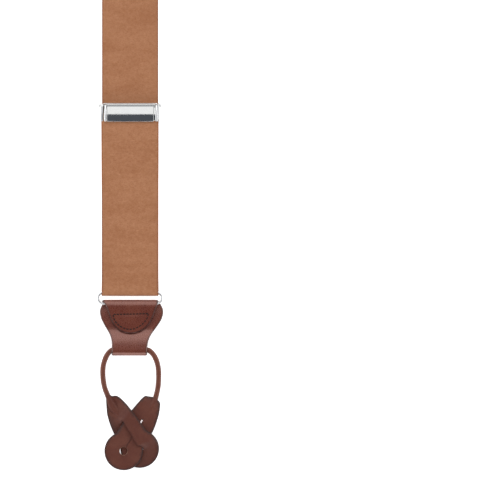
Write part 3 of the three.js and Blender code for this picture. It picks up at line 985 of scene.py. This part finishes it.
def cam_cover(side, way):
    """The lever: a rolled rim round the pivot, a crowned cover, two raised bars and a toothed cam below."""
    across = Vector((-1, 0, 0))
    line = cover_line(57.0, 100.4, 26)
    cover = ribbon("cover", line, outward(line, across), [15.85] * len(line), 0.8, NICKEL, turn=0.3)
    smooth_sharp(cover, 50)
    under = cover_line(58, 100.0, 20, -0.75)
    under_plate = ribbon("under_plate", under, outward(under, across), [18.1] * len(under), 0.5, NICKEL)
    lip = [Vector((x, -6.1, 7.1)) for x in (-15.4, -8, 0, 8, 16.0)]
    parts = [place_piece(cover, 0.3, 0), place_piece(under_plate, 0.4, 0), wire("lip", lip, 0.36, NICKEL)]
    for x in (-16.6, 17.95):
        arch = [Vector((x, y, z)) for y, z in ((5.0, 5.7), (2.0, 6.8), (-2.0, 7.3), (-6.2, 7.25))]
        bar = evenly(catmull(arch, 6), 0.8)
        halves = [0.8] * len(bar)
        parts.append(ribbon("raised_bar", bar, straight_up, halves, 1.3, SATIN_NICKEL, crown=0.1, turn=0.35))
    rim = [(-17.9, 0.45), (-17.8, 0.68), (-17.5, 0.78), (18.1, 0.78), (18.4, 0.68), (18.5, 0.45)]
    parts.append(turned_part("rim", rim, 5.42, PIVOT_Z, material=SATIN_NICKEL))
    for x in range(-17, 17, 3):
        tooth = [Vector((x + u, y, z)) for u in (0, TOOTH_WIDTH) for y, z in TOOTH_PROFILE]
        parts.append(make_piece("tooth", tooth, TOOTH_SIDES, NICKEL))
    barrel = [(-17.6, 1.3), (-17.4, 1.5), (17.4, 1.5), (17.6, 1.3)]
    parts.append(turned_part("barrel", barrel, PIVOT_Y, PIVOT_Z))
    piece = place_piece(joined(f"{side}_cam_cover", parts), way * LEG_X, ADJUSTER_Y)
    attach(piece, f"{side}_lever")
    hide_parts(f"{side}_cam_lever")
    return piece


def pivot_pin(side, way):
    """The lever's pin, with a domed head outside each rail."""
    head = [(-21.0, 0.15), (-20.95, 0.6), (-20.75, 1.0), (-20.4, 1.25), (-20.12, 1.28), (-20.08, 0.7)]
    profile = head + [(-x, radius) for x, radius in reversed(head)]
    piece = place_piece(turned_part(f"{side}_rivet", profile, PIVOT_Y, PIVOT_Z), way * LEG_X, ADJUSTER_Y)
    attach(piece, f"{side}_adjuster")
    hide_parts(f"{side}_pivot_pin")
    return piece


# ---------------------------------------------------------------- wire, cord and ring
def wire(name, line, radius, material, sides=12, closed=False, squeeze=None):
    """A round bar along a line; squeeze gives (across, height) shares of the radius at a point number."""
    rings = []
    count = len(line)
    for i, p in enumerate(line):
        before = line[i - 1] if closed or i else line[0]
        after = line[(i + 1) % count] if closed else line[min(i + 1, count - 1)]
        along = (after - before).normalized()
        side = Vector((0, 0, 1)).cross(along).normalized()
        up = along.cross(side)
        wide, tall = squeeze(i) if squeeze else (1, 1)
        ring = []
        for k in range(sides):
            t = 2 * math.pi * k / sides
            ring.append(p + side * math.cos(t) * radius * wide + up * math.sin(t) * radius * tall)
        rings.append(ring)
    points, faces = loft(rings, closed)
    return make_piece(name, points, faces, material)


def wire_ring(side, x, y, turned):
    """The oblong ring: its lower bar on the drawing's zero line and its upper bar above it."""
    straight = RING_HALF - RING_WIRE - RING_CORNER
    low = RING_CORNER
    high = 3.9
    line = []
    corners = [(straight, low, -90), (straight, high, 0), (-straight, high, 90), (-straight, low, 180)]
    for cx, cy, start in corners:
        line += [Vector((*p, RING_Z)) for p in arc_points(cx, cy, RING_CORNER, start, start + 90, 10)]
        if start in (0, 180):
            last = line[-1]
            line += [Vector((mix(last.x, -last.x, k / 10), last.y, RING_Z)) for k in range(1, 10)]
    ring = wire(f"{side}_wire_ring", line, RING_WIRE, SATIN_NICKEL, sides=16, closed=True)
    piece = place_piece(ring, x, y, turned)
    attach(piece, f"{side}_ring_link")
    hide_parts(f"{side}_ring")
    return piece


# ---------------------------------------------------------------- leather end tab
# Half widths of the strip against the distance from the ring's lower bar
FLAP_HALVES = [
    (-20.35, 0.5), (-20.1, 2.6), (-19.4, 5.2), (-17.9, 8.3), (-16.0, 10.4), (-13.5, 12.3),
    (-9.0, 14.6), (-4.0, 16.3), (0.0, 17.9), (1.3, 18.7), (2.6, 19.25),
]
BODY_HALVES = [
    (-40.0, 11.8), (-28.0, 12.0), (-25.0, 12.4), (-21.6, 13.6), (-18.4, 15.6), (-14.7, 18.1),
    (-10.5, 20.5), (-6.7, 21.5), (-3.7, 21.3), (-1.2, 20.0), (0.4, 19.3), (2.6, 19.25),
]
FLAP_TIP_Y = -20.35
SLEEVE_Y = -31.75


def straight_table(table, x):
    """The value at x between the points of a short table of (x, value)."""
    for (x0, v0), (x1, v1) in zip(table, table[1:]):
        if x <= x1:
            return mix(v0, v1, min(max((x - x0) / (x1 - x0), 0), 1))
    return table[-1][1]


def tab_line():
    """The strip's middle: flap tip, over the ring, down the back, round the cord, and its tail behind."""
    tip = [(FLAP_TIP_Y, 4.84), (-20.1, 4.83), (-19.7, 4.82), (-19.1, 4.8), (-18.3, 4.76), (-17.0, 4.7)]
    flap = [(-15, 4.66), (-12, 4.68), (-9, 4.78), (-6.5, 4.94), (-4.3, 5.06), (-2.4, 5.11), (-0.9, 5.02)]
    over = [(0.45, 4.6)] + arc_points(0, RING_Z, 1.7, 32, -90, 10)
    body = [(-3.0, 1.7), (-6, 2.04), (-9, 2.3), (-13, 2.56), (-17, 2.84), (-19, 3.22), (-20.5, 3.8)]
    body += [(-22, 4.42), (-23.5, 4.92), (-25, 5.3), (-27, 5.66), (-29, 5.92)]
    sleeve = arc_points(SLEEVE_Y, 3.5, 2.72, 97, 262, 18)
    tail = [(-28.5, 0.82), (-22, 0.8), (-15, 0.8), (-7, 0.8)]
    rest = [Vector((0, y, z)) for y, z in flap + over + body + sleeve + tail]
    return [Vector((0, y, z)) for y, z in tip] + evenly(catmull(rest, 5), 0.75)


def tab_lean(y):
    """How far the strip has wandered sideways at a distance from the ring."""
    return mix(-0.4, 1.0, smooth(y, -34, -8))


def flap_swell(x, y):
    """The low bulge inside the stitches, over the ends of the layers sewn there."""
    reach = 12.0 * (1 - 0.25 * smooth(-y, 9, 18))
    along = smooth(-y, 7.2, 9.5) * (1 - smooth(-y, 13, 17.5))
    return 0.3 * (1 - smooth(abs(x), reach * 0.55, reach)) * along


def burnish_and_shade_flap(tab, rows, flap_rows):
    """Darkens and rounds off the flap's cut edge, all the way round its tip: burnished edge colour, widened
    into a painted shadow line round the tip.
    """
    fold_y = 0.5
    steps = 120
    rim = []
    for k in range(steps):
        y = mix(FLAP_TIP_Y, fold_y, (k / (steps - 1)) ** 1.6)
        half = straight_table(FLAP_HALVES, y)
        rim += [Vector((half, y)), Vector((-half, y))]
    edge = tab.data.attributes["edge_and_shade"].data
    around = len(tab.data.vertices) // rows
    for number, vertex in enumerate(tab.data.vertices):
        place = vertex.co / MM
        if number >= flap_rows * around or place.y > fold_y:
            continue
        away = min((Vector((place.x - tab_lean(place.y), place.y)) - p).length for p in rim)
        on_top = 5 <= number % around < 16
        edge[number].value = 1 - smooth(away, 0.35, 1.15)
        if on_top:
            vertex.co.z -= 0.4 * (1 - smooth(away, 0.0, 0.7)) * MM


def end_tab(side, x, y, turned):
    """The leather end: one strip folded over the ring, with its flap in front and its cord sleeve below."""
    line = tab_line()
    front = max(range(len(line)), key=lambda i: line[i].y)
    halves = []
    for i, p in enumerate(line):
        halves.append(straight_table(FLAP_HALVES if i <= front else BODY_HALVES, p.y))
    tip_rows = 8
    last = len(line) - 1
    for _ in range(3):
        halves[tip_rows:] = [
            (halves[max(i - 1, tip_rows)] + 2 * halves[i] + halves[min(i + 1, last)]) / 4
            for i in range(tip_rows, last + 1)
        ]
    outer = outward(line, Vector((1, 0, 0)))
    name = f"{side}_leather_tab"
    tab = ribbon(name, line, outer, halves, LEATHER, BROWN_LEATHER, crown=0.05, turn=0.85)
    for vertex in tab.data.vertices:
        at_x, at_y, at_z = (c / MM for c in vertex.co)
        vertex.co.x += tab_lean(at_y) * (1 - smooth(at_y, -1, 1.5) * 0.9) * MM
        if at_z > 3.6 and -18.5 < at_y < -4:
            vertex.co.z += flap_swell(at_x, at_y) * MM
    burnish_and_shade_flap(tab, len(line), front)
    smooth_sharp(tab, 50)
    place_piece(tab, x, y, turned)
    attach(tab, f"{side}_leather_end")
    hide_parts(f"{side}_end_tab")
    return tab


def flap_height(x, y):
    """Top of the flap, where its stitches lie."""
    return along_table([(6.5, 5.74), (9, 5.58), (12, 5.48), (15, 5.46), (18, 5.54)], -y) + flap_swell(x, y)


STITCH_TOP = [(-11.4, -7.4), (0.6, -7.15), (12.5, -6.8)]
STITCH_BOW = [
    (12.5, -6.8), (11.3, -10.6), (8.6, -13.7), (5.6, -15.9), (3.0, -17.1), (0.3, -17.6),
    (-2.6, -17.2), (-5.2, -16.2), (-7.7, -14.6), (-9.7, -12.4), (-10.9, -10.2), (-11.4, -7.4),
]


def tab_stitches(side, x, y, turned):
    """The D of stitches through the flap: its straight top and its bow."""
    for part, corners in (("top", STITCH_TOP), ("bow", STITCH_BOW)):
        line = evenly(catmull([(*corner, 0) for corner in corners], 8), 2.27)
        line = [Vector((p.x, p.y, flap_height(p.x, p.y))) for p in line]
        piece = stitches(f"{side}_stitch_{part}", line, STITCH_LENGTH, THREAD_RADIUS)
        place_piece(piece, x, y, turned)
        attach(piece, f"{side}_leather_end")


# ---------------------------------------------------------------- rolled loop
CORD_RADIUS = 1.8
SEAM_DEPTH = 0.16
SEAM_ANGLE = 5.3
# The loop's route from the neck of tab A, through the sleeve, to the neck of tab B
CORD_POINTS = [
    (-15.2, -62.1, 1.8), (-17.3, -56.4, 1.8), (-18.4, -49.5, 1.8), (-18.3, -43.2, 1.9),
    (-17.0, -38.0, 2.3), (-15.0, -34.0, 3.05), (-12.3, -31.6, 3.45), (-8.0, -31.0, 3.5),
    (0, -31.0, 3.5), (8.0, -31.0, 3.5), (12.3, -31.6, 3.45), (15.3, -34.0, 3.05),
    (17.6, -38.0, 2.3), (19.0, -43.2, 1.9), (19.3, -49.5, 1.8), (18.8, -56.8, 1.8), (17.4, -63.4, 1.8),
]


def loop_cord(side, x, y, turned):
    """The rolled cord, with a closed seam along its inner side."""
    line = evenly(catmull(CORD_POINTS, 8), 0.9)
    count = len(line)
    sides = 20
    rings = []
    for i, p in enumerate(line):
        along = (line[min(i + 1, count - 1)] - line[max(i - 1, 0)]).normalized()
        across = Vector((0, 0, 1)).cross(along).normalized()
        up = along.cross(across)
        ring = []
        for k in range(sides):
            t = 2 * math.pi * k / sides
            seam = SEAM_DEPTH * math.exp(-(((t - SEAM_ANGLE) / 0.16) ** 2))
            ripple = 0.02 * math.sin(i * 0.7) + 0.015 * math.sin(i * 0.29 + k)
            r = CORD_RADIUS * (0.985 - seam / CORD_RADIUS + ripple)
            ring.append(p + across * math.cos(t) * r + up * math.sin(t) * r)
        rings.append(ring)
    points, faces = loft(rings)
    edges = [0.5 if k in (16, 17) else 0.0 for _ in rings for k in range(sides)]
    cord = make_piece(f"{side}_rolled_cord", points, faces, ROLLED_LEATHER, edges)
    piece = place_piece(cord, x, y, turned)
    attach(piece, f"{side}_button_loop")
    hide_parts(f"{side}_loop_cord")
    return piece


# ---------------------------------------------------------------- button tabs
# Half widths of a tab against the distance from its neck, left and right of its middle line
A_LEFT = [(0, 1.7), (2, 2.8), (5, 4.4), (11, 7.2), (18, 9.0), (24, 9.8), (31, 10.2), (36, 10.4)]
A_RIGHT = [(0, 1.7), (1.4, 2.4), (3.0, 5.2), (8, 7.2), (16, 8.7), (24, 9.6), (31, 10.1), (36, 10.4)]
B_RIGHT = [(0, 2.2), (1, 4.4), (4, 6.1), (9, 8.0), (17, 9.8), (24, 10.4), (31, 10.4), (36, 10.4)]
B_LEFT = [(0, 2.0), (1.2, 4.8), (2.8, 7.2), (10, 8.8), (17.3, 9.9), (24, 10.3), (31, 10.4), (36, 10.4)]


def tab_outline(left, right, end_radius):
    """Outline in the tab's own (across, along) frame, along pointing away from the neck."""
    join = TO_HOLE - math.sqrt(end_radius**2 - TAB_HALF**2)
    side_points = []
    for table in (left, right):
        run = [(w, s) for s, w in table if s < join - 2] + [(TAB_HALF, join)]
        curve = catmull([(w, s, 0) for w, s in run], 6)
        side_points.append([(p.x, p.y) for p in curve])
    outline = list(side_points[1])
    begin = math.atan2(join - TO_HOLE, TAB_HALF)
    for k in range(1, 40):
        a = mix(begin, math.pi - begin, k / 40)
        outline.append((end_radius * math.cos(a), TO_HOLE + end_radius * math.sin(a)))
    outline += [(-w, s) for w, s in reversed(side_points[0])]
    return outline


def keyhole_outline(radius, start_gap, shift):
    """The slit from its start to the round hole and back. The slit gapes a little at its start."""
    start = TO_HOLE - SLIT_LENGTH + shift
    half = 0.04
    meet = math.asin(half / radius)
    down = []
    steps = 18
    for k in range(steps + 1):
        s = mix(start, TO_HOLE - radius * math.cos(meet), k / steps)
        down.append((-half - start_gap * (1 - smooth(s, start + 2.5, start + 6.0)), s))
    hole = []
    for k in range(1, 24):
        a = mix(-math.pi / 2 - meet, -math.pi / 2 + meet - 2 * math.pi, k / 24)
        hole.append((radius * math.cos(a), TO_HOLE + radius * math.sin(a)))
    up = [(-w, s) for w, s in reversed(down)]
    tip = [(half * 0.5, start - 0.25), (-half * 0.5, start - 0.25)]
    return down + hole + up + tip


def button_tab(side, letter, x, y, turned):
    """A flat tab with a keyhole. Tab A runs through tab B's slit and comes out over its lower half."""
    neck_x, neck_y, lean = NECK_A if letter == "a" else NECK_B
    along = Vector((math.sin(lean), -math.cos(lean)))
    across = Vector((math.cos(lean), math.sin(lean)))
    left, right = (A_LEFT, A_RIGHT) if letter == "a" else (B_LEFT, B_RIGHT)
    radius = 13.1 if letter == "a" else 13.0

    def spot(point):
        n, s = point
        return Vector((neck_x, neck_y)) + along * s + across * n

    def own(at_x, at_y):
        away = Vector((at_x - neck_x, at_y - neck_y))
        return away.dot(along), away.dot(across)

    def height_a(at_x, at_y):
        s, n = own(at_x, at_y)
        slanted = s + 0.53 * n
        rise = 0.35 * smooth(slanted, 7, 16.5) + 0.65 * smooth(slanted, 15, 20)
        past_rim = math.hypot(s - 37.3, n + 10.2) - 13.0
        under_rim = mix(1, smooth(past_rim, -0.5, 7), smooth(s, 38.5, 44.5))
        arch = rise * (1 - smooth(slanted, 42, 53)) * under_rim
        start = TO_HOLE - SLIT_LENGTH
        half = max(straight_table(A_LEFT, s), 3)
        shared = 1.0 if n > 0 else max(1 + n / half, 0) * (1 - smooth(s, start + 1.2, start + 3.4))
        return 0.78 + 1.0 * (1 - smooth(s, 0, 6)) + 2 * TAB_LAYER * arch * shared

    def height_b(at_x, at_y):
        s, _ = own(at_x, at_y)
        lift = smooth(s, 0, 7)
        sag = 0.25 * smooth(s, 46, 54)
        return mix(1.8, 0.75 + TAB_LAYER, lift) - sag

    height_at = height_a if letter == "a" else height_b
    keyhole = (2.2, 0.0, 2.4) if letter == "a" else (HOLE_RADIUS, 0.42, -0.8)
    outline = facing(False, [spot(p) for p in tab_outline(left, right, radius)])
    hole = facing(True, [spot(p) for p in keyhole_outline(*keyhole)])
    raw_spots = [(spot((0, TO_HOLE)), HOLE_RADIUS + 0.25), (spot((0, TO_HOLE - SLIT_LENGTH + 1.5)), 3.4)]
    piece = flat_leather(
        f"{side}_keyhole_tab_{letter}", outline, [hole], height_at, TAB_THICK, TAB_LEATHER,
        rim=0.42, hole_rim=0.08, raw_holes=RAW_LEATHER if letter == "b" else None, raw_near=raw_spots,
    )
    # Painted shade on tab A: its round end, and its left half where it is pressed down under tab B, are
    # turned towards the dark edge colour.
    if letter == "a":
        edge = piece.data.attributes["edge_and_shade"].data
        for number, vertex in enumerate(piece.data.vertices):
            s, n = own(vertex.co.x / MM, vertex.co.y / MM)
            handled_and_shaded = 0.2 * smooth(s, 37, 46)
            tucked_half_shade = 0.38 * smooth(-n, 2.5, 7) * smooth(s, 9, 15) * (1 - smooth(s, 30, 36))
            edge[number].value = max(edge[number].value, handled_and_shaded, tucked_half_shade)
    smooth_sharp(piece, 60)
    place_piece(piece, x, y, turned)
    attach(piece, f"{side}_button_loop")
    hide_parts(f"{side}_button_tab_{letter}")
    return piece


def facing(clockwise, outline):
    """A closed outline that runs clockwise, or one that runs the other way."""
    area = sum(outline[i - 1].x * p.y - p.x * outline[i - 1].y for i, p in enumerate(outline))
    return outline if (area < 0) == clockwise else outline[::-1]


def neck_ridge(side, letter, x, y, turned):
    """The rolled cord flattening out over the first stretch of its tab."""
    neck_x, neck_y, lean = NECK_A if letter == "a" else NECK_B
    along = Vector((math.sin(lean), -math.cos(lean), 0))
    across = Vector((math.cos(lean), math.sin(lean), 0)) * (-1 if letter == "a" else 1)
    reach = 17.0
    rest = 2.2 if letter == "b" else 1.9
    first = Vector(CORD_POINTS[0] if letter == "a" else CORD_POINTS[-1])
    tip = Vector((neck_x, neck_y, 0)) + along * reach
    start = first - along * 0.4
    line = []
    count = 26
    for k in range(count + 1):
        t = k / count
        p = start.lerp(tip, t) + across * 0.8 * math.sin(math.pi * t)
        p.z = mix(CORD_RADIUS, rest, smooth(t, 0.1, 0.5))
        line.append(p)

    def squeeze(i):
        t = i / count
        wide = mix(1.0, 1.5, smooth(t, 0.0, 0.5)) * (1 - 0.75 * smooth(t, 0.55, 1.0))
        return wide, mix(1.0, 0.35, smooth(t, 0.05, 1.0))

    ridge = wire(f"{side}_neck_{letter}", line, CORD_RADIUS * 0.99, TAB_LEATHER, sides=18, squeeze=squeeze)
    piece = place_piece(ridge, x, y, turned)
    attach(piece, f"{side}_button_loop")
    return piece


def leather_end(side, x, y, turned):
    """Everything on one end below the strap, but for its rolled cord."""
    wire_ring(side, x, y, turned)
    end_tab(side, x, y, turned)
    tab_stitches(side, x, y, turned)
    for letter in "ab":
        button_tab(side, letter, x, y, turned)
        neck_ridge(side, letter, x, y, turned)


# ---------------------------------------------------------------- back patch and elastic
def bowed(corners, steps):
    """Points after the first of a curve drawn by three or four corners."""
    corners = [Vector(corner) for corner in corners]
    curve = []
    for k in range(1, steps + 1):
        row = corners
        while len(row) > 1:
            row = [a.lerp(b, k / steps) for a, b in zip(row, row[1:])]
        curve.append(row[0])
    return curve


def patch_outline(depth):
    """Anticlockwise outline of the patch: wide at its foot, narrow where the elastic leaves it."""
    right = [Vector((0, 184))]
    right += bowed([(0, 184), (22.5, 184), (42, 176)], 12)
    right += bowed([(42, 176), (45, 175), (45, 181)], 5)
    right += bowed([(45, 181), (40, 205), (21.5, 210), (21.5, 240)], 18)
    right += [Vector((21.5, 243.5)), Vector((21.5, 247))]
    right += bowed([(21.5, 247), (21.5, 250), (18.5, 250)], 5)
    right += [Vector((x, 250)) for x in (15, 12, 9, 6, 3, 0)]
    outline = right + [Vector((-p.x, p.y)) for p in reversed(right[1:-1])]
    return inset(outline, depth) if depth else outline


def strap_under(at_x, at_y):
    """How far the patch is pushed up by the straps and the elastic sewn in beneath it."""
    near = 0.0
    for way in (-1, 1):
        from_entry = Vector((at_x + way * PATCH_ENTRY[0], at_y - PATCH_ENTRY[1]))
        lean = Vector((-way * math.sin(PATCH_SLANT), math.cos(PATCH_SLANT)))
        off = abs(from_entry.x * lean.y - from_entry.y * lean.x)
        near = max(near, 1 - smooth(off, 17.5, 21.0))
    elastic = (1 - smooth(abs(at_x), 17.5, 20.5)) * smooth(at_y, 224, 230)
    return max(near * (1 - smooth(at_y, 222, 230)), elastic)


def back_patch():
    """The leather patch, its lining below, and the stitches round its border."""

    def height(at_x, at_y):
        return 3.62 + 0.42 * strap_under(at_x, at_y)

    def lining_height(*_):
        return LINING / 2

    patch = flat_leather(
        "back_patch_face", patch_outline(0), [], height, PATCH_LEATHER, BROWN_LEATHER, grid=2.2
    )
    lining = flat_leather(
        "back_patch_backing", patch_outline(0.8), [], lining_height, LINING, LINING_LEATHER, grid=2.6
    )
    border = patch_outline(2.8)
    run = evenly(catmull([(p.x, p.y, 0) for p in border + border[:1]], 3), 2.3)
    run = [Vector((p.x, p.y, height(p.x, p.y) + PATCH_LEATHER / 2)) for p in run]
    sewn = stitches("back_patch_stitch", run, STITCH_LENGTH, THREAD_RADIUS)
    for piece in (patch, lining, sewn):
        smooth_sharp(piece, 60)
        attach(piece, "yoke")
    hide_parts("back_patch")
    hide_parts("back_patch_lining")


def elastic_line():
    """From inside the patch, down to the table, round the ring and back over itself."""
    line = [(228.5, 2.25), (240, 2.25), (252, 2.22), (262, 1.8), (272, 1.0), (282, 0.68)]
    line += [(300, 0.65), (340, 0.65), (374, 0.67), (386, 1.2), (397, 1.62), (406, 1.64)]
    line += arc_points(419.53, RING_Z, RING_WRAP, -90, 90, 14)
    line += [(415.5, 4.72), (411, 4.35), (405, 3.6), (399, 3.2), (392, 3.12), (386, 3.1), (380, 3.1)]
    return evenly(catmull([(0, y, z) for y, z in line], 6), 1.1)


def back_elastic():
    """The elastic strap, its fold round the back ring and its sewn tail, all one length of webbing."""
    line = elastic_line()
    halves = [STRAP_HALF + 0.1 * math.sin(i * 0.09) for i in range(len(line))]
    outer = outward(line, Vector((1, 0, 0)))
    strap = ribbon("back_webbing", line, outer, halves, WEBBING, ELASTIC_WEBBING, crown=0.04)
    smooth_sharp(strap)
    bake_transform(strap)
    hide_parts("back_elastic", "back_strap_fold")
    box = [(-14.5, 383), (14.5, 383), (14.5, 397), (-14.5, 397), (-14.5, 383)]
    run = evenly([Vector((*corner, 3.78)) for corner in box], 2.4)
    sewn = stitches("back_tail_stitch", run, 1.9, 0.4, sink=0.15)
    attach(sewn, "back_strap_end")


# ---------------------------------------------------------------- floor and light
def floor():
    """A plain pale table."""
    size = 6.0
    mesh = bpy.data.meshes.new("floor")
    corners = [(-size, -size, 0), (size, -size, 0), (size, size, 0), (-size, size, 0)]
    mesh.from_pydata(corners, [], [(0, 1, 2, 3)])
    pale = bpy.data.materials.new("pale floor")
    pale.use_nodes = True
    shader = pale.node_tree.nodes["Principled BSDF"]
    shader.inputs["Base Color"].default_value = (0.9, 0.9, 0.9, 1)
    shader.inputs["Roughness"].default_value = 0.8
    shader.inputs["Specular IOR Level"].default_value = 0.1
    shader.inputs["Emission Color"].default_value = (1, 1, 1, 1)
    shader.inputs["Emission Strength"].default_value = 0.78
    mesh.materials.append(pale)
    piece = bpy.data.objects.new("floor", mesh)
    piece.location.z = -0.0002
    bpy.context.collection.objects.link(piece)


def soft_light(name, place, aim, wide, deep, power):
    """A soft panel of light that faces a point."""
    light = bpy.data.lights.new(name, "AREA")
    light.shape = "RECTANGLE"
    light.size = wide
    light.size_y = deep
    light.energy = power
    lamp = bpy.data.objects.new(name, light)
    lamp.location = place
    lamp.rotation_euler = (Vector(aim) - Vector(place)).to_track_quat("-Z", "Y").to_euler()
    bpy.context.collection.objects.link(lamp)


def light_studio():
    """A large panel beyond the back end, which the adjusters' covers mirror, and three low fills."""
    world = bpy.data.worlds.new("studio")
    world.use_nodes = True
    sky = world.node_tree.nodes["Background"].inputs
    sky["Color"].default_value = (0.62, 0.68, 0.8, 1)
    sky["Strength"].default_value = 0.22
    bpy.context.scene.world = world
    bpy.context.scene.view_settings.view_transform = "Standard"
    centre = (-0.06, -0.35, 0)
    soft_light("overhead", (-0.06, 2.3, 2.75), (-0.06, -0.3, 0), 6.0, 4.0, 125)
    soft_light("front_fill", (-0.06, -3.2, 1.1), centre, 4.0, 1.4, 48)
    soft_light("left_fill", (-3.2, -0.4, 1.4), centre, 2.0, 3.0, 44)
    soft_light("right_fill", (3.2, -0.4, 1.4), centre, 2.0, 3.0, 44)


# ---------------------------------------------------------------- making it all
ENDS = (("left", -LEG_X, -RING_Y, False), ("right", LEG_X, -RING_Y, False), ("back", 0.0, RING_Y, True))
for end in ENDS:
    loop_cord(*end)
for end in ENDS:
    leather_end(*end)
for side_name, direction in (("left", -1), ("right", 1)):
    front_strap(side_name, direction)
    adjusted_loop(side_name, direction)
    adjuster_frame(side_name, direction)
    cam_cover(side_name, direction)
    pivot_pin(side_name, direction)
back_patch()
back_elastic()
floor()
light_studio()
